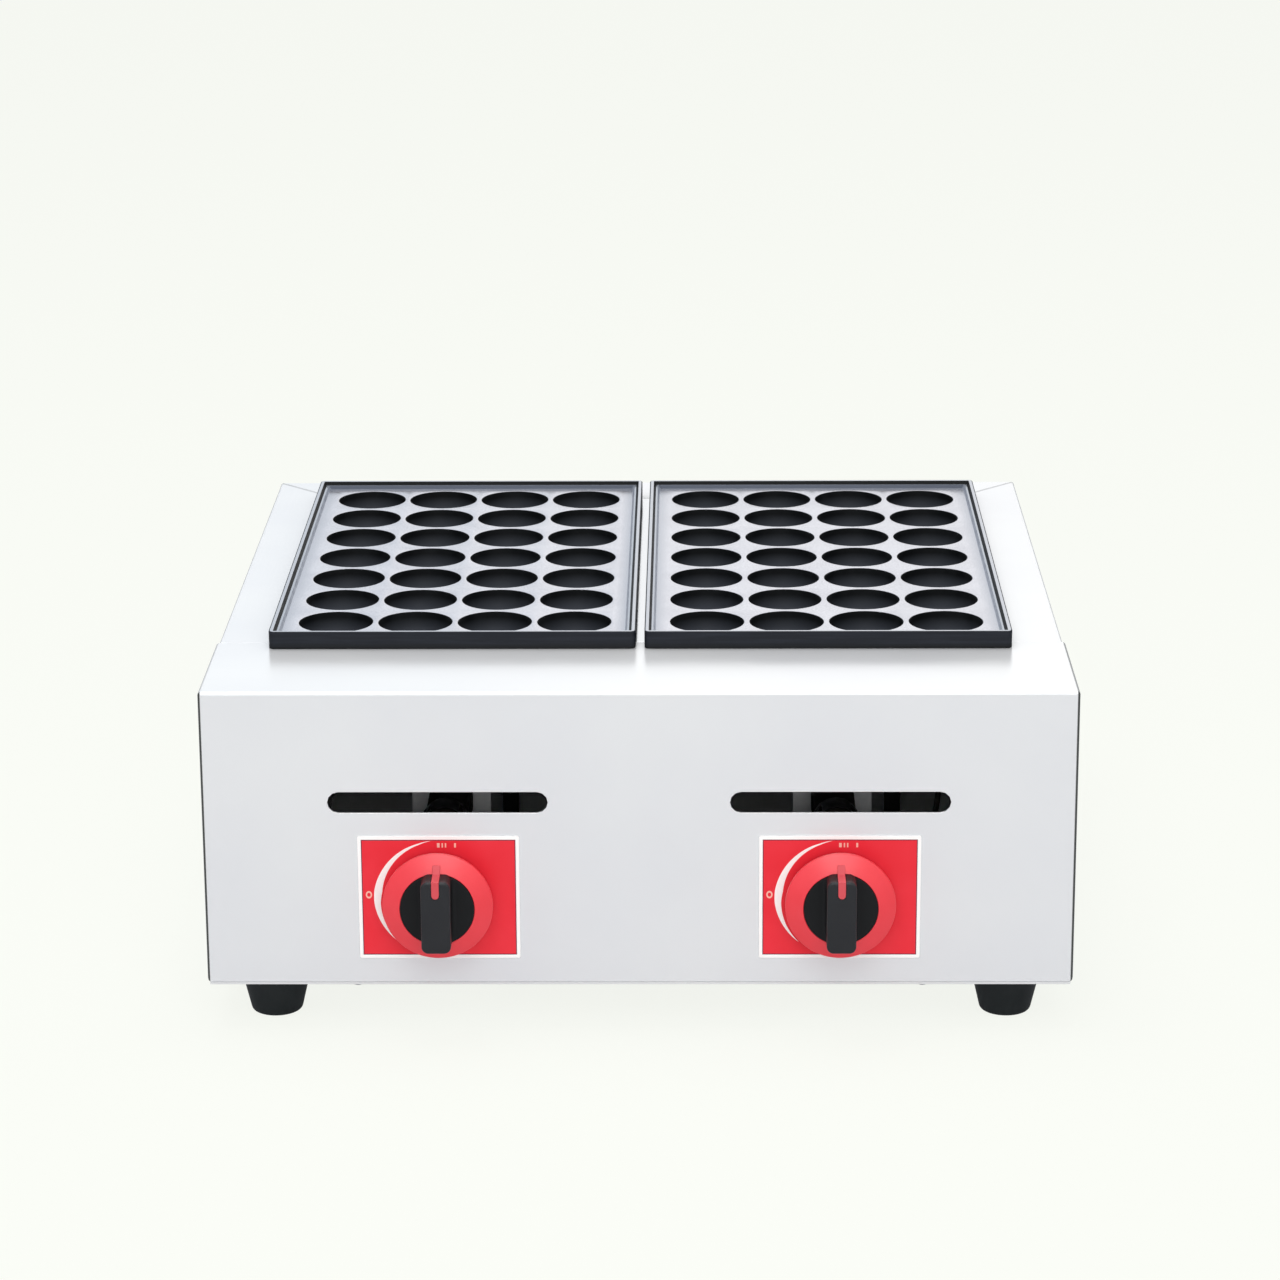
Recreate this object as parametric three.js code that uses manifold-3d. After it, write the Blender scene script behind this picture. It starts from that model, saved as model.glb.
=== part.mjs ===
// A gas takoyaki maker: two cast mould plates of round bowls on a folded steel body,
// with a bar burner, a push-and-turn valve and a knob under each plate.
// Millimetres, +Z up, the front faces -Y. The origin is under the middle of the
// overall box, at the level that the feet stand on.
import * as THREE from 'three';
import { RoundedBoxGeometry } from 'three/addons/geometries/RoundedBoxGeometry.js';
import { mergeVertices } from 'three/addons/utils/BufferGeometryUtils.js';
import Module from 'manifold-3d';

const wasm = await Module();
wasm.setup();

// Sheet metal
const sheet = 1.2;
const bendRadius = 2;
const foldSteps = 3;
const seamGap = 0.3;
const lapGap = 0.2;
const overrun = 5;

// Mould plates
const mouldColumns = 4;
const mouldRows = 7;
const mouldPitchX = 43.3;
const mouldPitchY = 43.8;
const plateMarginX = 33.8;
const plateMarginY = 32;
const plateGap = 4.7;
const plateCorner = 3;
const plateSeatGap = 0.2;
const deckRise = 5.9;
const rimRise = 3.9;
const lipWidth = 2.4;
const lipSlope = 1.2;
const ledgeWidth = 1.2;
const ledgeRise = 1.9;
const ledgeSlope = 1;
const bowlRadius = 20;
const bowlDepth = 18.5;
const cupFloor = 3;
const cupNeckWall = 1.6;
const bowlSides = 10;
const bowlRings = 3;

// Body round the plates
const sideRail = 29.6;
const frontApron = 77.6;
const rearRail = 34;
const bodyHeight = 162.3;
const topLedge = 7;
const seamSetback = 12.4;
const coverReturn = 14;
const sideBottomFlange = 40;
const rearReturn = 15;
const railFlange = 15;
const railLap = 12;

// Slots and vents, all with round ends
const slotWidth = 115.6;
const slotHeight = 11.5;
const slotRise = 52.5;
const ventWidth = 40;
const ventHeight = 6;
const ventPitch = 50;
const ventDrop = 24;
const ventCount = 8;
const floorSlotWidth = 8;
const floorSlotLength = 40;
const floorSlotPitch = 100;
const floorSlotSetOut = 36;
const floorSlotRows = 3;
const slotSteps = 6;
const ventSteps = 3;

// Feet
const footHeight = 26;
const footTopRadius = 19.4;
const footBottomRadius = 13.4;
const footSetInX = 33.3;
const footSetInY = 32;
const footRecessRadius = 7;
const footGrip = 13;
const footSides = 16;

// Screws
const screwRadius = 2;
const screwHeadRadius = 4.2;
const screwHeadHeight = 2.2;
const screwReach = 5;
const screwClearance = 0.3;
const screwSides = 6;
const rearScrewSetIn = 8;
const rearScrewDrop = 22;
const floorScrewX = 150;

// Knobs, their axis, and the printed plates behind them
const knobSetOut = 4.4;
const knobRise = 49.3;
const controlWidth = 85;
const controlHeight = 68.2;
const controlThickness = 0.6;
const controlCorner = 1;
const skirtRadius = 29;
const skirtBackRadius = 26.2;
const skirtBack = 6;
const skirtRim = 14.3;
const skirtEdge = 1.8;
const skirtCrown = 19.4;
const skirtWall = 2;
const discRadius = 19.4;
const discThickness = 1.9;
const discProud = 19.8;
const barWidth = 15.4;
const barLength = 39.5;
const barCorner = 3.6;
const barBevel = 1.2;
const knobProud = 33;
const hubRadius = 7.8;
const hubBack = 5;
const pointerWidth = 4;
const pointerDepth = 1.2;
const pointerProud = 0.2;
const pointerOnSkirt = 4.5;
const pointerOnFace = 9.2;
const knobGap = 0.2;
const knobSides = 28;
const keyShare = 0.6;

// Stem, and the push collar and spring round it
const stemRadius = 4;
const stemFront = 22;
const stemBack = 24;
const stemHole = 6;
const runningGap = 0.3;
const pushTravel = 4;
const collarRadius = 8.6;
const collarThickness = 2;
const springRadius = 8.2;
const springWall = 1.6;
const springSolidLength = 3.2;
const stemSides = 12;

// Valve body
const valveFlange = 34;
const valveFlangeThickness = 3;
const valveRadius = 14;
const valveLength = 40;
const outletRise = 20;
const outletWidth = 18;
const outletLength = 14;
const inletWidth = 16;
const inletLength = 20;
const terminalRadius = 2.4;
const terminalLength = 4;
const valveSides = 16;

// Gas pipes and the hose inlet
const manifoldRadius = 8;
const manifoldWall = 1.5;
const manifoldDrop = 28;
const manifoldSetBack = 24;
const manifoldOverhang = 16;
const portRadius = 3;
const supplyRadius = 6;
const supplyWall = 1.5;
const pipeSides = 12;
const inletProud = 33;
const inletHexRadius = 11;
const inletHexLength = 10;
const inletShankRadius = 7;
const inletShankLength = 8;
const inletNutLength = 5;
const inletBore = 3;
const barbRadius = 6.2;
const barbNeck = 5;
const barbCount = 4;
const hexSides = 6;

// Jet, burner and air shutter
const jetRadius = 5;
const jetLength = 13;
const jetNose = 4;
const jetTipRadius = 2.4;
const jetBore = 0.8;
const mixerRadius = 11.5;
const mixerWall = 2.5;
const mixerMouthSetBack = 47;
const mixerLip = 2;
const mixerLipRadius = 13;
const burnerWidth = 23;
const burnerHeight = 26;
const burnerChamfer = 3;
const burnerWall = 3;
const burnerSetBack = 36;
const burnerSetForward = 35;
const burnerPortWidth = 2;
const burnerPortLength = 13;
const burnerPortPitch = 16;
const shutterWall = 0.9;
const shutterLength = 18;
const shutterGap = 0.3;
const airWindowLength = 10;
const airWindowWidth = 9;
const airWindows = 3;
const mixerSides = 16;

// Burner supports
const supportThickness = 2;
const supportFoot = 14;
const supportOverhang = 44;
const supportRise = 4;
const supportBandDrop = 34;
const supportEar = 10;
const supportInset = 6;

// Igniter
const electrodeSetOut = 33;
const electrodeStripWidth = 9;
const electrodeStripThickness = 1.5;
const electrodeStripBottom = 40;
const electrodeWing = 16;
const electrodeRise = 8;
const ceramicRadius = 3.5;
const ceramicLength = 22;
const ceramicBack = 7;
const electrodeRodRadius = 1;
const electrodeRodReach = 14;
const wireRadius = 1.5;
const wireSides = 8;
const wireSteps = 24;
const wireDrop = 6;
const wireSwing = 7;

// Places worked out from the sizes
const plateWidth = (mouldColumns - 1) * mouldPitchX + 2 * plateMarginX;
const plateDepth = (mouldRows - 1) * mouldPitchY + 2 * plateMarginY;
const bodyWidth = 2 * (plateWidth + sideRail) + plateGap;
const bodyDepth = frontApron + plateDepth + rearRail;
const bodyTop = footHeight + bodyHeight;
const frontY = -bodyDepth / 2;
const rearY = bodyDepth / 2;
const plateX = (plateWidth + plateGap) / 2;
const plateY = frontY + frontApron + plateDepth / 2;
const seamY = plateY - plateDepth / 2 + seamSetback;
const openingFrontY = plateY - plateDepth / 2 + topLedge;
const openingRearY = plateY + plateDepth / 2 - topLedge;
const openingOuterX = plateX + plateWidth / 2 - topLedge;
const openingInnerX = plateX - plateWidth / 2 + topLedge;
const sideX = bodyWidth / 2 - sheet - lapGap;
const sideFrontY = frontY + bendRadius + lapGap;
const sideRearY = rearY - sheet - lapGap;
const floorTop = footHeight + sheet;
const coverBottom = floorTop + lapGap;
const underTop = bodyTop - sheet - lapGap;
const underBend = bodyTop - bendRadius - lapGap;
const overFlange = coverBottom + sheet + lapGap;
const overBend = coverBottom + bendRadius + lapGap;
const footRecessDepth = footHeight - footGrip;
const footX = bodyWidth / 2 - footSetInX;
const footY = bodyDepth / 2 - footSetInY;
const floorScrewY = bodyDepth / 2 - coverReturn / 2;
const rearScrewX = sideX - rearScrewSetIn;
const knobX = plateX + knobSetOut;
const knobZ = footHeight + knobRise;
const slotZ = knobZ + slotRise;
const valveFront = sheet + seamGap;
const manifoldY = frontY + manifoldSetBack;
const manifoldZ = knobZ - manifoldDrop;
const burnerZ = knobZ + outletRise;
const burnerFrontY = plateY - plateDepth / 2 + burnerSetBack;
const burnerRearY = plateY + plateDepth / 2 - burnerSetForward;
const mixerFrontY = frontY + mixerMouthSetBack;
const springStart = valveFront + collarThickness + pushTravel + 2 * seamGap;
const springEnd = springStart + springSolidLength;
const supplyStart = manifoldY + manifoldRadius + seamGap;
const inletInner = rearY - sheet - seamGap - inletHexLength;

// A closed geometry as a solid that booleans can work on, faces turned outwards
function solid(geometry) {
  const plain = geometry.clone();
  plain.deleteAttribute('normal');
  plain.deleteAttribute('uv');
  const merged = mergeVertices(plain);
  const triVerts = new Uint32Array(merged.index.array);
  const vertProperties = new Float32Array(merged.attributes.position.array);
  const made = new wasm.Manifold(new wasm.Mesh({ numProp: 3, vertProperties, triVerts }));
  if (made.volume() > 0) return made;
  for (let i = 0; i < triVerts.length; i += 3) {
    [triVerts[i + 1], triVerts[i + 2]] = [triVerts[i + 2], triVerts[i + 1]];
  }
  return new wasm.Manifold(new wasm.Mesh({ numProp: 3, vertProperties, triVerts }));
}

// The triangles of a finished solid, with flat faces
function geometryOf(made) {
  const { vertProperties, triVerts } = made.getMesh();
  const indexed = new THREE.BufferGeometry();
  indexed.setAttribute('position', new THREE.BufferAttribute(vertProperties, 3));
  indexed.setIndex(new THREE.BufferAttribute(triVerts, 1));
  const flat = indexed.toNonIndexed();
  flat.computeVertexNormals();
  return flat;
}

function box(x0, x1, y0, y1, z0, z1) {
  const shape = new THREE.BoxGeometry(Math.abs(x1 - x0), Math.abs(y1 - y0), Math.abs(z1 - z0));
  shape.translate((x0 + x1) / 2, (y0 + y1) / 2, (z0 + z1) / 2);
  return solid(shape);
}

// Shapes drawn in XZ and run along Y, in YZ and run along X, in XY and run along Z
function alongY(shape, y0, y1) {
  const run = new THREE.ExtrudeGeometry(shape, { depth: y1 - y0, bevelEnabled: false });
  return solid(run.rotateX(Math.PI / 2).translate(0, y1, 0));
}

function alongX(shape, x0, x1) {
  const run = new THREE.ExtrudeGeometry(shape, { depth: x1 - x0, bevelEnabled: false });
  return solid(run.rotateX(Math.PI / 2).rotateZ(Math.PI / 2).translate(x0, 0, 0));
}

function alongZ(shape, z0, z1) {
  const run = new THREE.ExtrudeGeometry(shape, { depth: z1 - z0, bevelEnabled: false });
  return solid(run.translate(0, 0, z0));
}

function outline(points) {
  return new THREE.Shape(points.map(([a, b]) => new THREE.Vector2(a, b)));
}

// A ring or disc turned about Y, its profile in radius and y
function turnedY(profile, sides) {
  const points = [...profile, profile[0]].map(([r, y]) => new THREE.Vector2(r, y));
  return solid(new THREE.LatheGeometry(points, sides));
}

// The same, turned about Z
function turnedZ(profile, sides) {
  const points = [...profile, profile[0]].map(([r, z]) => new THREE.Vector2(r, z));
  return solid(new THREE.LatheGeometry(points, sides).rotateX(Math.PI / 2));
}

function rodY(radius, x, z, y0, y1, sides) {
  const rod = new THREE.CylinderGeometry(radius, radius, y1 - y0, sides);
  return solid(rod.translate(x, (y0 + y1) / 2, z));
}

function rodX(radius, y, z, x0, x1, sides) {
  const rod = new THREE.CylinderGeometry(radius, radius, Math.abs(x1 - x0), sides);
  return solid(rod.rotateZ(Math.PI / 2).translate((x0 + x1) / 2, y, z));
}

function rodZ(radius, x, y, z0, z1, sides) {
  const rod = new THREE.CylinderGeometry(radius, radius, z1 - z0, sides);
  return solid(rod.rotateX(Math.PI / 2).translate(x, y, (z0 + z1) / 2));
}

// A slot with round ends, centred on a point of its plane
function slotShape(cx, cy, width, height, steps) {
  const r = Math.min(width, height) / 2;
  const points = [];
  const halfX = width / 2 - r;
  const halfY = height / 2 - r;
  const wide = width > height;
  for (const end of [1, -1]) {
    for (let i = 0; i <= steps; i += 1) {
      const turn = Math.PI * (i / steps) - (wide ? Math.PI / 2 : 0);
      const x = end * (halfX + r * Math.cos(turn));
      const y = end * (halfY + r * Math.sin(turn));
      points.push(new THREE.Vector2(cx + x, cy + y));
    }
  }
  return new THREE.Shape(points);
}

// A rectangle with round corners
function roundedShape(width, height, radius, steps) {
  const points = [];
  const corners = [[1, 1], [-1, 1], [-1, -1], [1, -1]];
  corners.forEach(([sx, sy], quarter) => {
    for (let i = 0; i <= steps; i += 1) {
      const turn = (Math.PI / 2) * (quarter + i / steps);
      points.push(new THREE.Vector2(
        sx * (width / 2 - radius) + radius * Math.cos(turn),
        sy * (height / 2 - radius) + radius * Math.sin(turn),
      ));
    }
  });
  return new THREE.Shape(points);
}

// A hollow box of folded sheet with round edges
function foldedShell(x0, x1, y0, y1, z0, z1) {
  const outer = new RoundedBoxGeometry(x1 - x0, y1 - y0, z1 - z0, foldSteps - 1, bendRadius);
  const inner = new RoundedBoxGeometry(
    x1 - x0 - 2 * sheet, y1 - y0 - 2 * sheet, z1 - z0 - 2 * sheet, foldSteps - 1, bendRadius - sheet,
  );
  const middle = [(x0 + x1) / 2, (y0 + y1) / 2, (z0 + z1) / 2];
  return solid(outer.translate(...middle)).subtract(solid(inner.translate(...middle)));
}

// The section of a sheet with a flange folded in at its top and another at its bottom,
// as distances in from its outer face and up from its lowest edge
function foldedSection(height, topFlange, bottomFlange) {
  const points = [];
  const bend = (u, v, radius, from, turn) => {
    for (let i = 0; i <= foldSteps; i += 1) {
      const angle = from + turn * (i / foldSteps);
      points.push([u + radius * Math.cos(angle), v + radius * Math.sin(angle)]);
    }
  };
  const quarter = Math.PI / 2;
  points.push([topFlange, height]);
  bend(bendRadius, height - bendRadius, bendRadius, quarter, quarter);
  bend(bendRadius, bendRadius, bendRadius, 2 * quarter, quarter);
  points.push([bottomFlange, 0]);
  points.push([bottomFlange, sheet]);
  bend(bendRadius, bendRadius, bendRadius - sheet, 3 * quarter, -quarter);
  bend(bendRadius, height - bendRadius, bendRadius - sheet, 2 * quarter, -quarter);
  points.push([topFlange, height - sheet]);
  return points;
}

// The front cover: face, top apron notched round the plates, and folded returns
function frontCover() {
  const half = bodyWidth / 2;
  const rear = seamY + coverReturn;
  let cover = foldedShell(-half, half, frontY, rear, coverBottom, bodyTop);
  const wide = half + overrun;
  cover = cover.subtract(box(-wide, wide, seamY, rear + overrun, 0, bodyTop + overrun));
  cover = cover.subtract(box(-wide, wide, frontY + coverReturn, rear, 0, bodyTop - coverReturn));
  for (const side of [-1, 1]) {
    const inner = side * openingInnerX;
    const outer = side * openingOuterX;
    cover = cover.subtract(box(inner, outer, openingFrontY, rear, underTop, bodyTop + overrun));
    const slot = slotShape(side * knobX, slotZ, slotWidth, slotHeight, slotSteps);
    cover = cover.subtract(alongY(slot, frontY - overrun, frontY + sheet + overrun));
    const hole = [side * knobX, knobZ, frontY - overrun, frontY + sheet + overrun];
    cover = cover.subtract(rodY(stemHole, ...hole, stemSides));
    const screw = [side * floorScrewX, -floorScrewY, 0, overFlange + overrun];
    cover = cover.subtract(rodZ(screwRadius + screwClearance, ...screw, screwSides));
  }
  return cover;
}

// What lies behind a mitre that runs in at 45 degrees from a rear corner of the top
function behindMitre(side, shift) {
  const run = rearY - openingRearY + overrun;
  const tip = [side * (sideX + overrun), rearY + overrun - shift];
  const foot = [side * (sideX - run), rearY - run - shift];
  const corner = [side * (sideX - run), rearY + overrun];
  return alongZ(outline([tip, foot, corner]), underBend, bodyTop + overrun);
}

function beforeMitre(side) {
  const run = rearY - openingRearY + overrun;
  const tip = [side * (sideX + overrun), rearY + overrun];
  const foot = [side * (sideX - run), rearY - run];
  const corner = [side * (sideX + overrun), rearY - run];
  return alongZ(outline([tip, foot, corner]), underTop, bodyTop + overrun);
}

// A side panel: wall, mitred top flange, bottom flange and a return behind the rear panel
function sidePanel(side) {
  const section = foldedSection(bodyTop - coverBottom, sideX - openingOuterX, sideBottomFlange);
  const placed = section.map(([u, v]) => [side * (sideX - u), coverBottom + v]);
  let panel = alongY(outline(placed), sideFrontY, sideRearY);
  const outer = side * (sideX + overrun);
  const inner = side * (sideX - sideBottomFlange - overrun);
  const backFlange = [side * (sideX - rearReturn), side * (sideX - sheet / 2)];
  panel = panel.add(box(...backFlange, sideRearY - sheet, sideRearY, overBend, underBend));
  const apron = seamY + seamGap;
  panel = panel.subtract(box(inner, outer, sideFrontY - overrun, apron, underBend, bodyTop + overrun));
  panel = panel.subtract(behindMitre(side, seamGap));
  const lowFront = frontY + coverReturn + seamGap;
  panel = panel.subtract(box(inner, outer, sideFrontY - overrun, lowFront, 0, overFlange));
  const lowRear = rearY - coverReturn - seamGap;
  const flangeEdge = side * (sideX - bendRadius);
  panel = panel.subtract(box(inner, flangeEdge, lowRear, sideRearY - sheet - seamGap, 0, overFlange));
  panel = panel.subtract(box(inner, flangeEdge, lowRear, rearY + overrun, 0, overFlange - lapGap));
  const clear = screwRadius + screwClearance;
  for (const end of [-1, 1]) {
    const hole = rodZ(clear, side * footX, end * footY, 0, overFlange + overrun, screwSides);
    panel = panel.subtract(hole);
    const z = end > 0 ? bodyTop - rearScrewDrop : coverBottom + rearScrewDrop;
    panel = panel.subtract(rodY(clear, side * rearScrewX, z, sideRearY - overrun, rearY, screwSides));
  }
  return panel;
}

// The rear panel: wall with vents, mitred top flange and bottom flange
function rearPanel() {
  const section = foldedSection(bodyTop - coverBottom, rearY - openingRearY, coverReturn);
  const placed = section.map(([u, v]) => [rearY - u, coverBottom + v]);
  let panel = alongX(outline(placed), -sideX, sideX);
  const through = [rearY - sheet - overrun, rearY + overrun];
  const clear = screwRadius + screwClearance;
  for (const side of [-1, 1]) {
    panel = panel.subtract(beforeMitre(side));
    const edge = side * (sideX - bendRadius - lapGap);
    const past = side * (sideX + overrun);
    const behind = rearY - sheet - lapGap / 2;
    panel = panel.subtract(box(edge, past, rearY - coverReturn - overrun, behind, 0, overBend));
    for (const z of [bodyTop - rearScrewDrop, coverBottom + rearScrewDrop]) {
      panel = panel.subtract(rodY(clear, side * rearScrewX, z, ...through, screwSides));
    }
    const low = rodZ(clear, side * floorScrewX, floorScrewY, 0, overFlange + overrun, screwSides);
    panel = panel.subtract(low);
  }
  for (let i = 0; i < ventCount; i += 1) {
    const x = (i - (ventCount - 1) / 2) * ventPitch;
    const vent = slotShape(x, bodyTop - ventDrop, ventWidth, ventHeight, ventSteps);
    panel = panel.subtract(alongY(vent, ...through));
  }
  return panel.subtract(rodY(inletShankRadius + screwClearance, 0, manifoldZ, ...through, pipeSides));
}

// The bottom panel: flat, with air slots under each burner
function bottomPanel() {
  let panel = box(-sideX, sideX, frontY, rearY, footHeight, floorTop);
  const through = [footHeight - overrun, floorTop + overrun];
  const clear = screwRadius + screwClearance;
  for (const side of [-1, 1]) {
    for (const end of [-1, 1]) {
      panel = panel.subtract(rodZ(clear, side * footX, end * footY, ...through, screwSides));
      panel = panel.subtract(rodZ(clear, side * floorScrewX, end * floorScrewY, ...through, screwSides));
    }
    for (let row = 0; row < floorSlotRows; row += 1) {
      const y = plateY + (row - (floorSlotRows - 1) / 2) * floorSlotPitch;
      for (const set of [-1, 1]) {
        const x = side * knobX + set * floorSlotSetOut;
        const slot = slotShape(x, y, floorSlotWidth, floorSlotLength, ventSteps);
        panel = panel.subtract(alongZ(slot, ...through));
      }
    }
  }
  return panel;
}

// The rail between the two openings: a channel with its flanges lapped under the sheets
function centreRail() {
  const width = 2 * openingInnerX;
  const section = foldedSection(width, railFlange, railFlange);
  const placed = section.map(([u, v]) => [v - width / 2, bodyTop - u]);
  const front = seamY + seamGap;
  const rear = openingRearY - seamGap;
  let rail = alongY(outline(placed), front, rear);
  for (const side of [-1, 1]) {
    const face = side * (width / 2);
    const back = side * (width / 2 - sheet);
    rail = rail.add(box(face, back, front - railLap, rear + railLap, bodyTop - railFlange, underTop));
  }
  return rail;
}

// A frustum with a rectangular plan, for the sloped walls inside the plate's rim
function taperedBlock(inset0, z0, inset1, z1) {
  const block = new THREE.BoxGeometry(plateWidth, plateDepth, z1 - z0);
  const place = block.attributes.position;
  for (let i = 0; i < place.count; i += 1) {
    const inset = place.getZ(i) < 0 ? inset0 : inset1;
    place.setX(i, place.getX(i) - Math.sign(place.getX(i)) * inset);
    place.setY(i, place.getY(i) - Math.sign(place.getY(i)) * inset);
  }
  return solid(block.translate(0, 0, (z0 + z1) / 2));
}

// Half of an ellipsoid hanging from the deck, closed by a plug above it
function hangingBowl(radius, depth, plug) {
  const profile = [];
  for (let i = 0; i <= bowlRings; i += 1) {
    const turn = (Math.PI / 2) * (i / bowlRings);
    profile.push([radius * Math.sin(turn), deckRise - depth * Math.cos(turn)]);
  }
  profile[0][0] = 0;
  if (plug > 0) profile.push([radius, deckRise + plug]);
  profile.push([0, deckRise + plug]);
  return profile;
}

// One casting: rimmed deck with a grid of bowls, its underside resting on the steel top
function mouldPlate() {
  const corners = roundedShape(plateWidth, plateDepth, plateCorner, foldSteps);
  let plate = alongZ(corners, plateSeatGap, deckRise + rimRise);
  const lipInset = lipWidth + lipSlope;
  const ledgeInset = lipInset + ledgeWidth;
  const ledge = deckRise + ledgeRise;
  const top = deckRise + rimRise;
  const flare = (lipSlope * overrun) / (rimRise - ledgeRise);
  plate = plate.subtract(taperedBlock(ledgeInset + ledgeSlope, deckRise, ledgeInset, ledge));
  plate = plate.subtract(taperedBlock(lipInset, ledge, lipWidth - flare, top + overrun));
  const cup = turnedZ(hangingBowl(bowlRadius + cupNeckWall, bowlDepth + cupFloor, 0), bowlSides);
  const bowl = turnedZ(hangingBowl(bowlRadius, bowlDepth, overrun), bowlSides);
  const grid = [];
  for (let row = 0; row < mouldRows; row += 1) {
    for (let column = 0; column < mouldColumns; column += 1) {
      const x = (column - (mouldColumns - 1) / 2) * mouldPitchX;
      const y = (row - (mouldRows - 1) / 2) * mouldPitchY;
      grid.push([x, y, 0]);
    }
  }
  for (const place of grid) plate = plate.add(moved(cup, place));
  for (const place of grid) plate = plate.subtract(moved(bowl, place));
  return plate;
}

// A copy of a solid at another place
function moved(made, [x, y, z]) {
  const shifted = geometryOf(made).translate(x, y, z);
  return solid(shifted);
}

// A pan-headed screw along +Y, its head in front of y = 0 and its shank behind
function screw(reach) {
  return turnedY([
    [0, -screwHeadHeight],
    [screwHeadRadius / 2, -screwHeadHeight],
    [screwHeadRadius, -screwHeadHeight / 2],
    [screwHeadRadius, 0],
    [screwRadius, 0],
    [screwRadius, reach],
    [0, reach],
  ], screwSides);
}

// A rubber foot with the screw's recess in its underside
function foot() {
  const clear = screwRadius + screwClearance;
  const at = (z) => footBottomRadius + (footTopRadius - footBottomRadius) * (z / footHeight);
  const top = footHeight - lapGap;
  return turnedZ([
    [clear, top],
    [clear, footRecessDepth],
    [footRecessRadius, footRecessDepth],
    [footRecessRadius, 0],
    [footBottomRadius, 0],
    [at(top), top],
  ], footSides);
}

// The printed plate on the front cover, with the stem's hole
function controlPlate() {
  const face = roundedShape(controlWidth, controlHeight, controlCorner, foldSteps);
  const plate = alongY(face, -controlThickness - lapGap, -lapGap);
  return plate.subtract(rodY(stemHole, 0, 0, -overrun, overrun, stemSides));
}

// The knob's round skirt, open behind, with a recess for the disc. Behind its widest edge
// it draws in towards the cover.
function knobSkirt() {
  const hole = hubRadius + knobGap;
  const seat = discProud - discThickness - knobGap;
  return turnedY([
    [hole, -seat],
    [discRadius + knobGap, -seat],
    [discRadius + knobGap, -skirtCrown],
    [skirtRadius, -skirtRim],
    [skirtRadius, -(skirtRim - skirtEdge)],
    [skirtBackRadius, -skirtBack],
    [skirtBackRadius - skirtWall, -skirtBack],
    [skirtRadius - skirtWall, -(skirtRim - skirtWall)],
    [discRadius, -(seat - skirtWall)],
    [hole, -(seat - skirtWall)],
  ], knobSides);
}

// The strip of colour that marks the knob's upright, from the skirt over the bar's end
function pointerStrip(grow) {
  const slope = (skirtCrown - skirtRim) / (skirtRadius - discRadius);
  const skin = (z) => -(skirtCrown - slope * Math.max(0, z - discRadius));
  const end = barLength / 2;
  const tip = discRadius + pointerOnSkirt;
  const lift = knobGap + pointerDepth / 2;
  const front = -knobProud;
  const low = end - pointerOnFace + pointerWidth / 2;
  const half = pointerWidth / 2 + grow;
  const base = -discProud - knobGap + grow;
  const profile = outline([
    [low, front],
    [low, front + pointerDepth + grow],
    [end - pointerDepth - grow, front + pointerDepth + grow],
    [end - pointerDepth - grow, base],
    [discRadius + knobGap, base],
    [tip, skin(tip) - knobGap],
    [tip, skin(tip) - lift],
    [end + pointerProud, base - pointerDepth],
    [end + pointerProud, front],
  ].map(([z, y]) => [y, z]));
  let strip = alongX(profile, -half, half);
  const round = rodY(half, 0, low, front, front + pointerDepth + grow, stemSides);
  return strip.add(round);
}

// The black grip: disc, bar and hub, bored for the stem and grooved for the strip
function knobGrip() {
  const barBase = skirtCrown + knobGap;
  const disc = rodY(discRadius, 0, 0, -discProud, -(discProud - discThickness), knobSides);
  const bar = new THREE.ExtrudeGeometry(
    roundedShape(barWidth - 2 * barBevel, barLength - 2 * barBevel, barCorner - barBevel, foldSteps),
    {
      depth: knobProud - barBase - barBevel,
      bevelEnabled: true,
      bevelSize: barBevel,
      bevelThickness: barBevel,
      bevelSegments: 2,
    },
  );
  bar.rotateX(Math.PI / 2);
  bar.translate(0, -barBase, 0);
  const behind = box(-discRadius, discRadius, -barBase, 0, -skirtRadius, skirtRadius);
  const hub = rodY(hubRadius, 0, 0, -(discProud - discThickness / 2), -hubBack, stemSides);
  const bore = rodY(stemRadius + knobGap, 0, 0, -(stemFront + knobGap), 0, stemSides);
  const grip = solid(bar).subtract(behind).add(disc).add(hub).subtract(bore);
  const groove = pointerStrip(knobGap);
  const front = box(-pointerWidth, pointerWidth, -knobProud - overrun, -knobProud, 0, barLength);
  return grip.subtract(groove).subtract(front);
}

// The stem, from inside the hub to inside the valve, with a flat as its key
function knobStem() {
  const stem = rodY(stemRadius, 0, 0, -stemFront, stemBack, stemSides);
  const flat = stemRadius * keyShare;
  return stem.subtract(box(-stemRadius, stemRadius, -stemFront - overrun, 0, flat, stemRadius + overrun));
}

// The collar that carries the stem's push, and the spring under it at its shortest
function pushCollar() {
  const y = valveFront + seamGap;
  const bore = stemRadius + runningGap;
  return turnedY([
    [bore, y], [collarRadius, y], [collarRadius, y + collarThickness], [bore, y + collarThickness],
  ], stemSides);
}

function stemSpring() {
  const inner = springRadius - springWall;
  return turnedY([
    [inner, springStart], [springRadius, springStart], [springRadius, springEnd], [inner, springEnd],
  ], stemSides);
}

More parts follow.
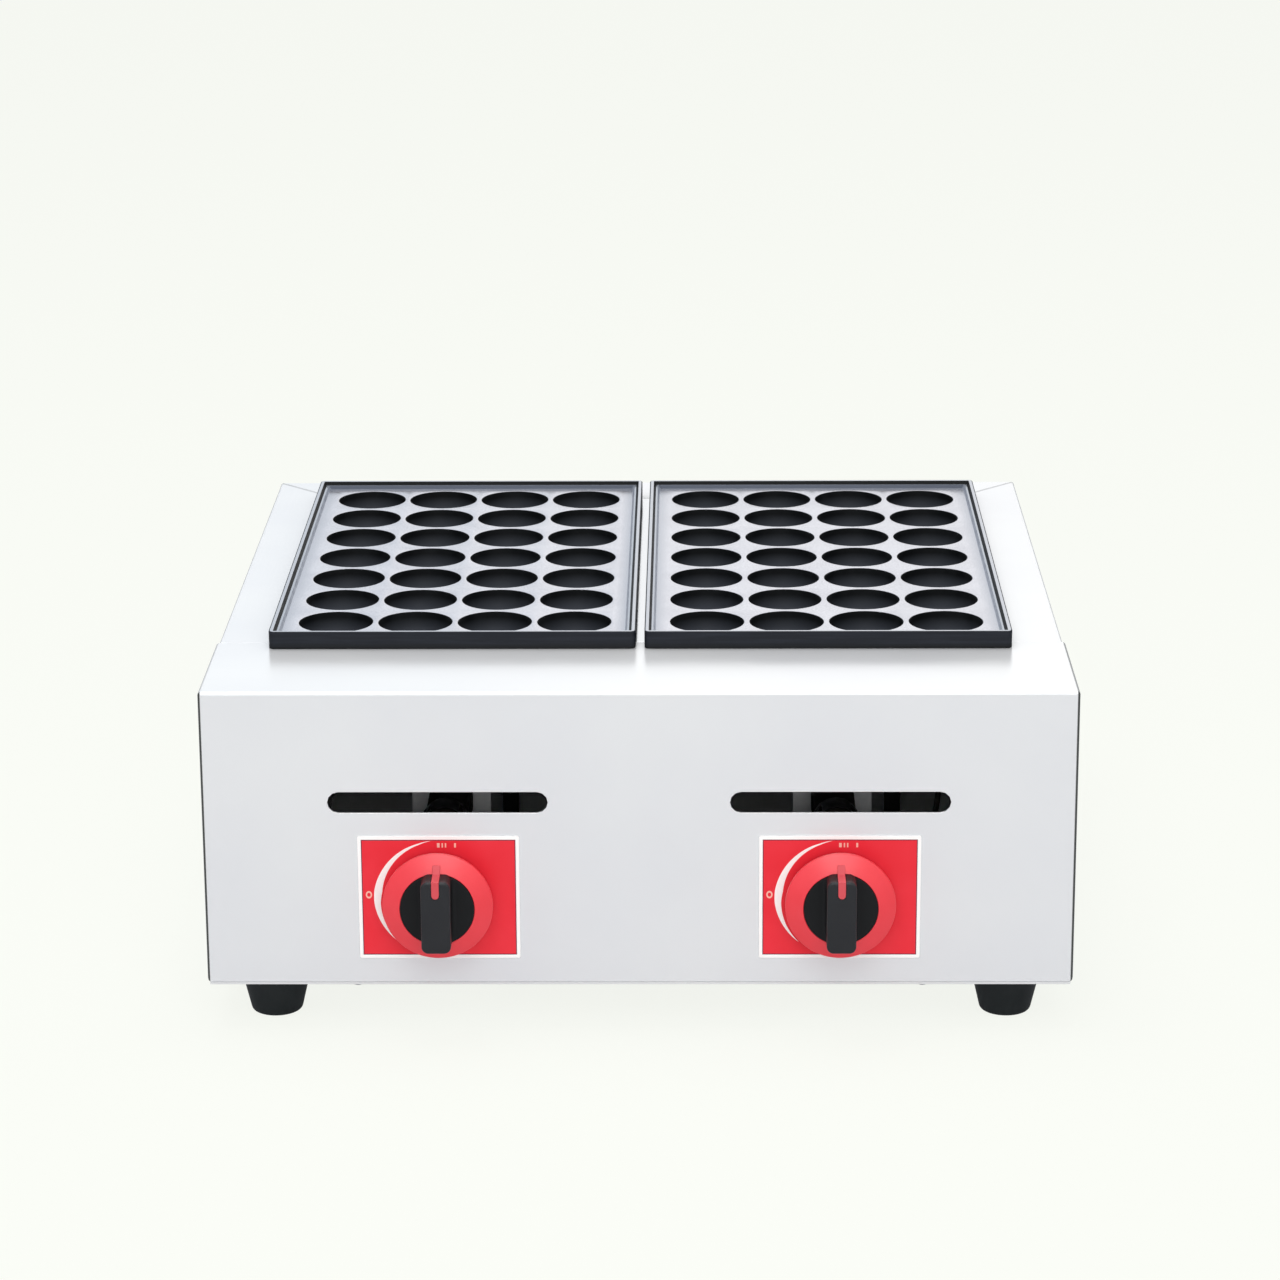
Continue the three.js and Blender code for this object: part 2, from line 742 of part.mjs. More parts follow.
// The valve: flange, barrel, outlet on top, and a saddle over the manifold pipe
function valveBody() {
  const back = valveLength;
  const half = valveFlange / 2;
  let body = box(-half, half, valveFront, valveFront + valveFlangeThickness, -half, half);
  body = body.add(rodY(valveRadius, 0, 0, valveFront + valveFlangeThickness / 2, back, valveSides));
  const outlet = outletWidth / 2;
  body = body.add(box(-outlet, outlet, back - outletLength, back, 0, outletRise + outlet));
  const inlet = inletWidth / 2;
  const middle = manifoldSetBack;
  const saddle = [middle - inletLength / 2, middle + inletLength / 2];
  body = body.add(box(-inlet, inlet, ...saddle, -manifoldDrop, 0));
  body = body.add(rodX(terminalRadius, middle, 0, 0, valveRadius + terminalLength, wireSides));
  const pipe = manifoldRadius + seamGap;
  body = body.subtract(rodX(pipe, middle, -manifoldDrop, -outletWidth, outletWidth, pipeSides));
  const chamber = springEnd + seamGap;
  body = body.subtract(rodY(collarRadius + runningGap, 0, 0, 0, chamber, stemSides));
  const depth = stemBack + pushTravel + seamGap;
  return body.subtract(rodY(stemRadius + runningGap, 0, 0, 0, depth, stemSides));
}

// The jet that meters gas into the burner's mouth
function jet() {
  const y = valveLength + seamGap;
  return turnedY([
    [jetBore, y],
    [jetRadius, y],
    [jetRadius, y + jetLength - jetNose],
    [jetTipRadius, y + jetLength],
    [jetBore, y + jetLength],
  ], hexSides * 2);
}

// Windows cut through a round wall, evenly round it
function windows(from, to) {
  const cuts = [];
  for (let i = 0; i < airWindows; i += 1) {
    const cut = new THREE.BoxGeometry(airWindowWidth, to - from, mixerLipRadius + overrun);
    cut.translate(0, (from + to) / 2, (mixerLipRadius + overrun) / 2);
    cuts.push(solid(cut.rotateY((2 * Math.PI * (i + 1 / 2)) / airWindows)));
  }
  return cuts;
}

// The burner: mixing tube with a lipped mouth, then a hollow bar with ports sawn across it
function burner() {
  const inner = mixerRadius - mixerWall;
  const front = mixerFrontY;
  const join = burnerFrontY + burnerWall / 2;
  let tube = turnedY([
    [inner, front], [mixerLipRadius, front], [mixerLipRadius, front + mixerLip],
    [mixerRadius, front + mixerLip], [mixerRadius, join], [inner, join],
  ], mixerSides);
  const section = (w, h, c) => outline([
    [-w / 2, -h / 2], [w / 2, -h / 2], [w / 2, h / 2 - c],
    [w / 2 - c, h / 2], [c - w / 2, h / 2], [-w / 2, h / 2 - c],
  ]);
  const hollow = [burnerWidth - 2 * burnerWall, burnerHeight - 2 * burnerWall, burnerChamfer / 2];
  let bar = alongY(section(burnerWidth, burnerHeight, burnerChamfer), burnerFrontY, burnerRearY);
  bar = bar.subtract(alongY(section(...hollow), burnerFrontY + burnerWall, burnerRearY - burnerWall));
  bar = bar.add(tube);
  bar = bar.subtract(rodY(inner, 0, 0, front - overrun, burnerFrontY + burnerWall + overrun, mixerSides));
  const run = burnerRearY - burnerFrontY - 2 * burnerPortPitch;
  const count = Math.floor(run / burnerPortPitch) + 1;
  for (let i = 0; i < count; i += 1) {
    const y = burnerFrontY + burnerPortPitch + (run * i) / (count - 1);
    const port = burnerPortWidth / 2;
    const half = burnerPortLength / 2;
    const top = burnerHeight / 2;
    bar = bar.subtract(box(-half, half, y - port, y + port, top - burnerWall - port, top + overrun));
  }
  const from = front + mixerLip + (shutterLength - airWindowLength) / 2;
  for (const cut of windows(from, from + airWindowLength)) bar = bar.subtract(cut);
  return bar;
}

// The sleeve that turns on the mixing tube to open or close its windows
function airShutter() {
  const inner = mixerRadius + shutterGap;
  const outer = inner + shutterWall;
  const front = mixerFrontY + mixerLip + seamGap;
  const rear = front + shutterLength - 2 * seamGap;
  let sleeve = turnedY([[inner, front], [outer, front], [outer, rear], [inner, rear]], mixerSides);
  const from = mixerFrontY + mixerLip + (shutterLength - airWindowLength) / 2;
  for (const cut of windows(from, from + airWindowLength)) sleeve = sleeve.subtract(cut);
  return sleeve;
}

// A sheet that stands on the bottom panel and holds both burner bars in its notches
function burnerSupport() {
  const half = knobX + supportOverhang;
  const top = burnerZ + supportRise;
  const base = floorTop + lapGap;
  let plate = box(-half, half, 0, supportThickness, base, burnerZ - supportBandDrop);
  plate = plate.add(box(-half, half, 0, supportFoot, base, base + supportThickness));
  const ends = [-overrun, supportFoot + overrun];
  for (const side of [-1, 1]) {
    const wide = burnerWidth / 2 + seamGap;
    const low = burnerZ - burnerHeight / 2 - seamGap;
    const x = side * knobX;
    const ear = wide + supportEar;
    plate = plate.add(box(x - ear, x + ear, 0, supportThickness, base, top));
    plate = plate.subtract(box(x - wide, x + wide, ...ends, low, top + overrun));
  }
  return plate.subtract(rodY(supplyRadius + seamGap, 0, manifoldZ, ...ends, pipeSides));
}

// The strip that holds the electrode beside the burner bar, with a wing at its top
function electrodeBracket() {
  const half = electrodeStripWidth / 2;
  const thick = electrodeStripThickness;
  const axis = burnerHeight / 2 + electrodeRise;
  const top = axis + 2 * ceramicRadius;
  let strip = box(-half, half, -thick, 0, -electrodeStripBottom, top);
  strip = strip.add(box(half - thick, half, -thick, electrodeWing, axis - 2 * ceramicRadius, top));
  const y = electrodeWing / 2;
  return strip.subtract(rodX(ceramicRadius + seamGap, y, axis, 0, half + overrun, stemSides));
}

function electrodeCeramic() {
  const end = electrodeStripWidth / 2 + ceramicBack;
  const y = electrodeWing / 2;
  const bar = rodX(ceramicRadius, y, 0, end - ceramicLength, end, stemSides / 2);
  const bore = electrodeRodRadius + seamGap;
  return bar.subtract(rodX(bore, y, 0, end - ceramicLength - overrun, end + overrun, wireSides));
}

function electrodeRod() {
  const end = electrodeStripWidth / 2 + ceramicBack;
  const tip = end - ceramicLength - electrodeRodReach;
  return rodX(electrodeRodRadius, electrodeWing / 2, 0, tip, end, wireSides);
}

// The lead from the valve's terminal to the electrode, in real places round the knob's axis
function ignitionWire(start, finish) {
  const low = Math.min(start.z, finish.z) - wireDrop;
  const curve = new THREE.CatmullRomCurve3([
    start,
    new THREE.Vector3(start.x + wireSwing, start.y, start.z),
    new THREE.Vector3(finish.x, (2 * start.y + finish.y) / 3, low),
    new THREE.Vector3(finish.x + wireSwing, (start.y + 2 * finish.y) / 3, low),
    new THREE.Vector3(finish.x + 2 * wireSwing, finish.y, finish.z - 2 * wireSwing),
    new THREE.Vector3(finish.x + wireSwing, finish.y, finish.z),
    finish,
  ]);
  const ring = new THREE.Shape();
  ring.absarc(0, 0, wireRadius, 0, 2 * Math.PI);
  return solid(new THREE.ExtrudeGeometry(ring, {
    steps: wireSteps, curveSegments: wireSides / 2, extrudePath: curve,
  }));
}

// The manifold pipe across the front, ported to each valve and to the supply
function manifold() {
  const half = knobX + manifoldOverhang;
  const inner = manifoldRadius - manifoldWall;
  let pipe = rodX(manifoldRadius, 0, 0, -half, half, pipeSides);
  pipe = pipe.subtract(rodX(inner, 0, 0, -(half - manifoldWall), half - manifoldWall, pipeSides));
  for (const side of [-1, 1]) {
    pipe = pipe.subtract(rodZ(portRadius, side * knobX, 0, 0, manifoldRadius + overrun, wireSides));
  }
  const bore = supplyRadius - supplyWall;
  return pipe.subtract(rodY(bore, 0, 0, 0, manifoldRadius + overrun, pipeSides));
}

function supplyPipe() {
  const bore = supplyRadius - supplyWall;
  const end = inletInner - seamGap;
  return turnedY([
    [bore, supplyStart], [supplyRadius, supplyStart], [supplyRadius, end], [bore, end],
  ], pipeSides);
}

// The hose inlet: a hexagon inside, a shank through the panel, and a barbed tail
function hoseInlet() {
  const shoulder = inletInner + inletHexLength;
  const shankEnd = rearY + inletShankLength;
  const tail = (inletProud - inletShankLength) / barbCount;
  const profile = [
    [inletBore, shoulder - inletHexLength / 2],
    [inletShankRadius, shoulder - inletHexLength / 2],
    [inletShankRadius, shankEnd],
  ];
  for (let i = 0; i < barbCount; i += 1) {
    const y = shankEnd + i * tail;
    profile.push([barbRadius, y], [barbNeck, y + tail]);
  }
  profile.push([inletBore, rearY + inletProud]);
  const hexagon = turnedY([
    [inletBore, inletInner], [inletHexRadius, inletInner],
    [inletHexRadius, shoulder], [inletBore, shoulder],
  ], hexSides);
  const bore = rodY(inletBore, 0, 0, inletInner - overrun, rearY + inletProud + overrun, pipeSides);
  return hexagon.add(turnedY(profile, pipeSides)).subtract(bore);
}

function inletNut() {
  const bore = inletShankRadius + lapGap;
  const front = rearY + seamGap;
  const rear = front + inletNutLength;
  const nut = turnedY([
    [bore, front], [inletHexRadius, front], [inletHexRadius, rear], [bore, rear],
  ], hexSides);
  return nut.subtract(rodY(bore, 0, 0, front - overrun, rear + overrun, pipeSides));
}

// Surfaces
const paint = (colour, roughness, metalness) => () => new THREE.MeshStandardMaterial({
  color: colour, roughness, metalness,
});
const steel = paint(0xe2e4e8, 0.35, 0.9);
const darkSteel = paint(0x55585c, 0.6, 0.8);
const coating = paint(0x24262b, 0.45, 0.3);
const red = paint(0xf0404c, 0.4, 0);
const softRed = paint(0xff5a64, 0.45, 0);
const black = paint(0x2c2d2f, 0.5, 0);
const rubber = paint(0x222326, 0.8, 0);
const brass = paint(0xb8934a, 0.35, 0.9);
const castIron = paint(0x1b1b1c, 0.8, 0.4);
const spring = paint(0x9a9da2, 0.35, 1);
const white = paint(0xe9e6dd, 0.4, 0);

const model = new THREE.Group();
const body = new THREE.Group();
body.position.y = (knobProud - inletProud) / 2;
model.add(body);

function place(parent, name, made, surface, position = [0, 0, 0], rotation = [0, 0, 0]) {
  const mesh = new THREE.Mesh(geometryOf(made), surface());
  mesh.name = name;
  mesh.position.set(...position);
  mesh.rotation.set(...rotation);
  parent.add(mesh);
  return mesh;
}

place(body, 'front_cover', frontCover(), steel);
place(body, 'rear_panel', rearPanel(), steel);
place(body, 'bottom_panel', bottomPanel(), steel);
place(body, 'centre_rail', centreRail(), steel);
place(body, 'gas_manifold', manifold(), darkSteel, [0, manifoldY, manifoldZ]);
place(body, 'gas_supply_pipe', supplyPipe(), darkSteel, [0, 0, manifoldZ]);
place(body, 'gas_inlet_nipple', hoseInlet(), brass, [0, 0, manifoldZ]);
place(body, 'gas_inlet_nut', inletNut(), brass, [0, 0, manifoldZ]);

const support = burnerSupport();
place(body, 'front_burner_support', support, darkSteel, [0, burnerFrontY + supportInset, 0]);
place(body, 'rear_burner_support', support, darkSteel, [0, burnerRearY - supportInset - supportFoot, 0]);

const sides = [['left', -1], ['right', 1]];
for (const [word, side] of sides) {
  place(body, word + '_side_panel', sidePanel(side), steel);
  place(body, word + '_mould_plate', mouldPlate(), coating, [side * plateX, plateY, bodyTop]);

  const station = new THREE.Group();
  station.position.set(side * knobX, frontY, knobZ);
  body.add(station);
  place(station, word + '_control_plate', controlPlate(), red);
  place(station, word + '_knob_skirt', knobSkirt(), softRed);
  place(station, word + '_knob_grip', knobGrip(), black);
  place(station, word + '_knob_pointer', pointerStrip(0), softRed);
  place(station, word + '_valve_stem', knobStem(), spring);
  place(station, word + '_push_collar', pushCollar(), brass);
  place(station, word + '_stem_spring', stemSpring(), spring);
  place(station, word + '_gas_valve', valveBody(), brass);
  place(station, word + '_gas_jet', jet(), brass, [0, 0, outletRise]);

  const flame = new THREE.Group();
  flame.position.set(side * knobX, 0, burnerZ);
  body.add(flame);
  place(flame, word + '_burner', burner(), castIron);
  place(flame, word + '_air_shutter', airShutter(), darkSteel);

  const stripY = burnerFrontY + supportInset - seamGap;
  const rise = burnerHeight / 2 + electrodeRise;
  const igniter = new THREE.Group();
  igniter.position.set(electrodeSetOut, stripY, 0);
  flame.add(igniter);
  place(igniter, word + '_electrode_bracket', electrodeBracket(), castIron);
  place(igniter, word + '_electrode_ceramic', electrodeCeramic(), white, [0, 0, rise]);
  place(igniter, word + '_electrode_rod', electrodeRod(), spring, [0, 0, rise]);

  const start = new THREE.Vector3(valveRadius + terminalLength + seamGap, manifoldY, knobZ);
  const ceramicEnd = electrodeStripWidth / 2 + ceramicBack + seamGap;
  const finish = new THREE.Vector3(
    electrodeSetOut + ceramicEnd, stripY + electrodeWing / 2, burnerZ + rise,
  );
  place(body, word + '_ignition_wire', ignitionWire(start, finish), rubber, [side * knobX, 0, 0]);

  for (const [end, way] of [['front', -1], ['rear', 1]]) {
    place(body, end + '_' + word + '_foot', foot(), rubber, [side * footX, way * footY, 0]);
    const upright = [Math.PI / 2, 0, 0];
    const footReach = footHeight - footRecessDepth + sheet + overFlange - floorTop + screwReach;
    place(body, end + '_' + word + '_foot_screw', screw(footReach), spring,
      [side * footX, way * footY, footRecessDepth - lapGap], upright);
    const floorReach = overFlange - footHeight + screwReach;
    place(body, end + '_' + word + '_floor_screw', screw(floorReach), spring,
      [side * floorScrewX, way * floorScrewY, footHeight - lapGap], upright);
  }
  for (const [level, z] of [['upper', bodyTop - rearScrewDrop], ['lower', coverBottom + rearScrewDrop]]) {
    const reach = 2 * sheet + screwReach;
    place(body, level + '_' + word + '_rear_screw', screw(reach), spring,
      [side * rearScrewX, rearY + lapGap, z], [0, 0, Math.PI]);
  }
}

export default model;
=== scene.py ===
# %% [markdown]
# # A two-plate takoyaki maker
# The cooker is a folded steel body on rubber feet, with two cast plates of round moulds on top
# and a gas knob in front of each plate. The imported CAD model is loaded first, as a fixed frame:
# every piece below is built in the same place and the same metres, and rides on a body of it.

# %% Load the frame
import math

import bmesh
import bpy
from mathutils import Matrix, Vector


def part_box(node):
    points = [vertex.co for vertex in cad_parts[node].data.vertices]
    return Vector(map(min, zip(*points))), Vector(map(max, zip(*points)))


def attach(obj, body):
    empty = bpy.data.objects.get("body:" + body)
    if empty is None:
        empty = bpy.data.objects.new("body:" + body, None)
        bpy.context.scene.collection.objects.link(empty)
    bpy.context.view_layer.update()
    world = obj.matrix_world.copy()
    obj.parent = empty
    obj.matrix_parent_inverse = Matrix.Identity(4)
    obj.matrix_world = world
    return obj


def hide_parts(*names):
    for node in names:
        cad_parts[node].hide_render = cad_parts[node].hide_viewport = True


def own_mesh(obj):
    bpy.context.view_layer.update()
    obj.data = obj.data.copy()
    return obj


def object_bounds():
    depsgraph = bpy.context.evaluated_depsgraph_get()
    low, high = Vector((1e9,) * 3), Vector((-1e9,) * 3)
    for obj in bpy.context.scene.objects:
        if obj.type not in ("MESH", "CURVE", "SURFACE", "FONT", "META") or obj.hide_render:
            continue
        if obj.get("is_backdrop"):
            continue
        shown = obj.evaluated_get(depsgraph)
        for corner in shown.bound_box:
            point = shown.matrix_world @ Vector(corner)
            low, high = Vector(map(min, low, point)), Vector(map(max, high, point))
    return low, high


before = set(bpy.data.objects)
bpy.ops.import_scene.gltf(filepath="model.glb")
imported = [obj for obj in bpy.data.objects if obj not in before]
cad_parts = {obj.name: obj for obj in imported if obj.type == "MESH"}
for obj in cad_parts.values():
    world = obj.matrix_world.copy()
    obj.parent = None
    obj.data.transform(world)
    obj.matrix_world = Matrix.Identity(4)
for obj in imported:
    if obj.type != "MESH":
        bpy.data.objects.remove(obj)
cad_box = [list(corner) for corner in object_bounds()]
print("CAD box:", cad_box)

# %% [markdown]
# Lengths are easier to read in millimetres, so MM turns one into metres. The main places of the
# cooker are named once: where the plates and the knobs are, and the heights of the steel top and
# of the cooking deck. Pieces that repeat left and right are made by the same function.

# %% Main places
MM = 0.001
SIDES = {"left": -1, "right": 1}
ENDS = {"front": -1, "rear": 1}


def middle(name):
    """The middle of a CAD node's box."""
    low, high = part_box(name)
    return [round(value, 6) for value in (low + high) / 2]


def half_size(name):
    low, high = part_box(name)
    return (high - low) / 2


STEEL_TOP = round(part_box("centre_rail")[1].z, 6)
DECK = STEEL_TOP + 5.9 * MM
FRONT = round(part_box("front_cover")[0].y, 6)
PLATE_X, PLATE_Y, _ = middle("right_mould_plate")
PLATE_HALF_X, PLATE_HALF_Y, _ = half_size("right_mould_plate")
KNOB_X, _, KNOB_Z = middle("right_control_plate")
print("steel top", STEEL_TOP, "front", FRONT, "plates at", PLATE_X, PLATE_Y)
print("knob axes at x", [side * KNOB_X for side in SIDES.values()], "z", KNOB_Z)

# %% [markdown]
# ## Camera
# The photograph was taken with a long lens from a little above the front. The lens and the place
# were fitted to the rims of all the moulds, so a piece that is built to size lands on its picture.
# The three directions of the camera are the columns of its matrix.

# %% Camera
LENS_MM = 113.57
SENSOR_MM = 36
EYE = Vector((0.0281, -2.2187, 0.8143))
RIGHTWARD = Vector((0.99992, 0.01205, -0.00493))
DOWNWARD = Vector((-0.00127, -0.28645, -0.95810))
FORWARD = Vector((-0.01296, 0.95802, -0.28641))

scene = bpy.context.scene
camera_data = bpy.data.cameras.new("camera")
camera_data.lens = LENS_MM
camera_data.sensor_width = SENSOR_MM
camera = bpy.data.objects.new("camera", camera_data)
turn = Matrix((RIGHTWARD, -DOWNWARD, -FORWARD)).transposed()
camera.matrix_world = Matrix.Translation(EYE) @ turn.to_4x4()
scene.collection.objects.link(camera)
scene.camera = camera
scene.view_settings.view_transform = "Standard"
print("the camera looks down by", round(math.degrees(math.asin(-FORWARD.z)), 1), "degrees")

# %% [markdown]
# ## Materials
# A material is a small network of nodes. Writing every link by hand hides the idea, so Wire wraps
# one output of a node: adding or multiplying two Wires makes the Math node between them, and a
# Wire that carries a place can be read as noise. The trees of Geometry Nodes use Wires too.

# %% A wire between nodes


class Wire:
    """One output of a node, which + - * / turn into Math nodes."""

    def __init__(self, tree, socket):
        self.tree = tree
        self.socket = socket

    def math(self, operation, *others):
        values = dict(enumerate((self, *others)))
        return node(self.tree, "ShaderNodeMath", values, operation=operation)

    def __add__(self, other):
        return self.math("ADD", other)

    def __sub__(self, other):
        return self.math("SUBTRACT", other)

    def __mul__(self, other):
        return self.math("MULTIPLY", other)

    def __truediv__(self, other):
        return self.math("DIVIDE", other)

    def ramp(self, low, high, to_low=0.0, to_high=1.0):
        """The value carried from one range to another, held at its ends."""
        values = dict(enumerate((self, low, high, to_low, to_high)))
        return node(self.tree, "ShaderNodeMapRange", values, "Result")

    def noise(self, scale, detail=2.0, roughness=0.5):
        values = {"Vector": self, "Scale": scale, "Detail": detail, "Roughness": roughness}
        return node(self.tree, "ShaderNodeTexNoise", values, "Fac")

    def blend(self, first, second):
        """From the first colour at 0 to the second at 1."""
        return node(self.tree, "ShaderNodeMix", {0: self, 6: first, 7: second}, 2,
                    data_type="RGBA")

    def axes(self):
        """The three coordinates of a place, as separate Wires."""
        x = node(self.tree, "ShaderNodeSeparateXYZ", {0: self})
        return [Wire(self.tree, output) for output in x.socket.node.outputs]

    def bump(self, shader, depth):
        """Bumps on the surface, depth metres high where this Wire is 1."""
        dress(shader, Normal=node(self.tree, "ShaderNodeBump", {"Height": self, "Distance": depth}))


def plug(slot, value):
    """Links a Wire to a socket, or writes a plain value on it."""
    if isinstance(value, Wire):
        value.tree.links.new(value.socket, slot)
    else:
        slot.default_value = value


def node(tree, kind, inputs=None, output=0, **settings):
    """A new node, its settings set and its inputs plugged, as the Wire of one of its outputs."""
    made = tree.nodes.new(kind)
    for label, value in settings.items():
        setattr(made, label, value)
    for label, value in (inputs or {}).items():
        plug(made.inputs[label], value)
    return Wire(tree, made.outputs[output]) if made.outputs else None


def dress(shader, **sockets):
    """Plugs the main shader's sockets by name."""
    for label, value in sockets.items():
        plug(shader.inputs[label.replace("_", " ")], value)


def srgb(red, green, blue):
    """A colour as it reads on screen, 0 to 255, as the linear colour that nodes use."""
    shares = [channel / 255 for channel in (red, green, blue)]
    linear = [s / 12.92 if s < 0.04045 else ((s + 0.055) / 1.055) ** 2.4 for s in shares]
    return (*linear, 1.0)


print("mid grey on screen is", round(srgb(128, 128, 128)[0], 3), "in linear light")

# %% [markdown]
# Every material starts from its main shader and from Object coordinates, in metres, so a grain has
# its real size on every piece. A value that is the same all over is set on the shader's socket.

# %% Start of a material


def new_material(name, **sockets):
    """A material with its main shader and the place on the piece as a Wire."""
    material = bpy.data.materials.new(name)
    material.use_nodes = True
    shader = material.node_tree.nodes["Principled BSDF"]
    dress(shader, **sockets)
    return material, shader, place(material)


def place(material, scale=(1, 1, 1), centre=(0, 0, 0)):
    """Object coordinates, moved so that centre is the origin, then scaled."""
    here = node(material.node_tree, "ShaderNodeTexCoord", output="Object")
    moved = [-c * s for c, s in zip(centre, scale)]
    values = {"Vector": here, "Scale": scale, "Location": moved}
    return node(material.node_tree, "ShaderNodeMapping", values)


# %% [markdown]
# Stainless sheet leaves the mill with a fine grain in one direction. The grain is noise stretched
# some hundred times along that direction: it shows as a faint bump and as a small change of
# roughness, under broad smudges that hands and cloths leave. A mask by distance makes a few places
# darker and less metallic: the tight bends at the sides, a painted reflection of the darker room;
# the floor panel's cut front edge, painted shade; and the mitred joints, a faint dark joint line.

# %% Steel sheet
STEEL_TINT = srgb(248, 249, 250)
STEEL_SHADE = srgb(243, 244, 247)
# Painted reflection and shade on the steel's bends and edges, and the dark line of the mitred
# joints.
EDGE_SHADE_AND_JOINT_DARK = srgb(66, 68, 66)
EDGE_METAL = 0.1
CASING_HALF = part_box("front_cover")[1].x
CASING_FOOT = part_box("front_cover")[0].z
MITRE = CASING_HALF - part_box("rear_panel")[1].y
GRAIN_ACROSS = 1100.0
GRAIN_ALONG = 9.0


def steel_sheet(name, grain, metal=0.4, smooth=0.2, edges=None):
    """Sheet with its grain along x, y or z; edges tells where it is painted darker and duller."""
    material, shader, where = new_material(name, Metallic=metal)
    stretch = [GRAIN_ALONG if axis == grain else GRAIN_ACROSS for axis in "xyz"]
    lines = place(material, stretch).noise(1.0)
    smudge = where.noise(9.0, 3.0).ramp(0.3, 0.7)
    rub = where.noise(60.0)
    colour = smudge.blend(STEEL_SHADE, STEEL_TINT)
    if edges:
        # Painted reflection and shade: the masked bends and edges are darker and less metallic.
        dark = edges(*where.axes())
        colour = dark.blend(colour, EDGE_SHADE_AND_JOINT_DARK)
        dress(shader, Metallic=dark.ramp(0.0, 1.0, metal, EDGE_METAL))
    rough = smudge.ramp(0.0, 1.0, smooth, smooth + 0.04) + lines.ramp(0.3, 0.7, -0.015, 0.015)
    dress(shader, Base_Color=colour, Roughness=rough + rub.ramp(0.4, 0.7, 0.0, 0.015))
    lines.bump(shader, 0.0012 * MM)
    return material


def cover_painted_bends(x, y, z):
    """The cover: painted reflection on its upright bends, fainter on the bends beside the apron,
    more on the right than on the left.
    """
    far_out = x.math("ABSOLUTE").ramp(CASING_HALF - 1.6 * MM, CASING_HALF - 1.2 * MM)
    on_front = y.ramp(FRONT + 1.4 * MM, FRONT + 1.9 * MM, 1.0, 0.0)
    on_top = z.ramp(STEEL_TOP - 1.6 * MM, STEEL_TOP - 1.1 * MM) * x.ramp(-0.01, 0.01, 0.35, 0.8)
    return far_out * on_front.math("MAXIMUM", on_top)


def panel_painted_bends_and_joint(x, y, z):
    """A side panel: a faint painted reflection along its upper bend, and a faint dark line along the
    mitred joint.
    """
    out = x.math("ABSOLUTE")
    bend = out.ramp(CASING_HALF - 1.0 * MM, CASING_HALF - 0.6 * MM)
    joint = (out - y - MITRE).ramp(1.2 * MM, 1.6 * MM, 1.0, 0.0)
    on_top = z.ramp(STEEL_TOP - 1.6 * MM, STEEL_TOP - 1.1 * MM)
    return bend.math("MAXIMUM", joint) * on_top * 0.4


def floor_painted_edge(x, y, z):
    """The floor panel: its cut front edge is painted a little darker than its faces, as painted
    shade.
    """
    return y.ramp(FRONT + 0.25 * MM, FRONT + 0.5 * MM, 0.2, 0.0)


REAR_STEEL = steel_sheet("steel_grain_across", "x")
FLOOR_STEEL = steel_sheet("floor_panel_steel", "x", 0.1, 0.5, floor_painted_edge)
COVER_STEEL = steel_sheet("cover_steel", "x", edges=cover_painted_bends)
PANEL_STEEL = steel_sheet("side_panel_steel", "y", edges=panel_painted_bends_and_joint)
RAIL_STEEL = steel_sheet("bright_rail_steel", "y", 1.0, 0.1)
print("made", REAR_STEEL.name, COVER_STEEL.name, PANEL_STEEL.name, RAIL_STEEL.name)

# %% [markdown]
# The mould plates are castings. Their tops are ground flat, which leaves a pale satin metal with a
# mottled grain; the moulds, the rim's outer faces and the underside keep a black baked coating.
# The lip and the ledge have their own tints, and the deck beside the rim is painted darker as shade
# of the rim's wall, so the tint follows the distance in from the edge.

# %% Castings
LIP_METAL = srgb(202, 205, 213)
LEDGE_METAL = srgb(182, 188, 199)
# Painted shade on the deck for a few millimetres in from the rim's wall.
RIM_SIDE_SHADE = srgb(184, 188, 199)
BLACK_COAT = srgb(10, 12, 14)
# Painted sheen: the bowls are painted paler towards their bottoms.
BOWL_SHEEN = srgb(58, 62, 70)
# Darker towards the foot of the rim's walls, and on the underside.
RIM_FOOT_TINT = srgb(10, 12, 14)


def in_from_edge(where):
    """How far a point lies in from its plate's outer faces, sideways and lengthways."""
    x, y, z = where.axes()
    sideways = (x.math("ABSOLUTE") - PLATE_X).math("ABSOLUTE") * -1.0 + PLATE_HALF_X
    return sideways, (y - PLATE_Y).math("ABSOLUTE") * -1.0 + PLATE_HALF_Y


def ground_casting(name):
    material, shader, where = new_material(name, Metallic=0.75)
    grain = where.noise(900.0, 3.0, 0.65)
    cloud = where.noise(45.0, 3.0)
    share = grain.ramp(0.35, 0.65) * 0.6 + cloud.ramp(0.35, 0.65) * 0.4
    sideways, lengthways = in_from_edge(where)
    inset = sideways.math("MINIMUM", lengthways)
    edge = inset.ramp(2.9 * MM, 3.1 * MM).blend(LIP_METAL, LEDGE_METAL)
    edge = inset.ramp(5.2 * MM, 5.5 * MM).blend(edge, RIM_SIDE_SHADE)
    bright = share.blend(srgb(204, 204, 213), srgb(231, 231, 238))
    dress(shader, Base_Color=inset.ramp(5.5 * MM, 12 * MM).blend(edge, bright),
          Roughness=cloud.ramp(0.3, 0.7, 0.19, 0.27))
    grain.bump(shader, 0.012 * MM)
    return material


def baked_coating(name, tint, roughness, streak, shine, deep):
    """Baked black skin; deep gives a height, a lower height and the tint that is reached there."""
    material, shader, where = new_material(name, Metallic=0.0, Specular_IOR_Level=shine)
    wear = place(material, streak).noise(70.0, 4.0, 0.6)
    faded = [min(1.0, channel * 1.9 + 0.004) for channel in tint[:3]] + [1.0]
    start, end, deep_tint = deep
    skin_colour = wear.ramp(0.45, 0.75, 0.0, 0.7).blend(tint, faded)
    dress(shader, Base_Color=where.axes()[2].ramp(start, end).blend(skin_colour, deep_tint),
          Roughness=wear.ramp(0.3, 0.7, roughness - 0.05, roughness + 0.07))
    where.noise(1400.0).bump(shader, 0.01 * MM)
    return material


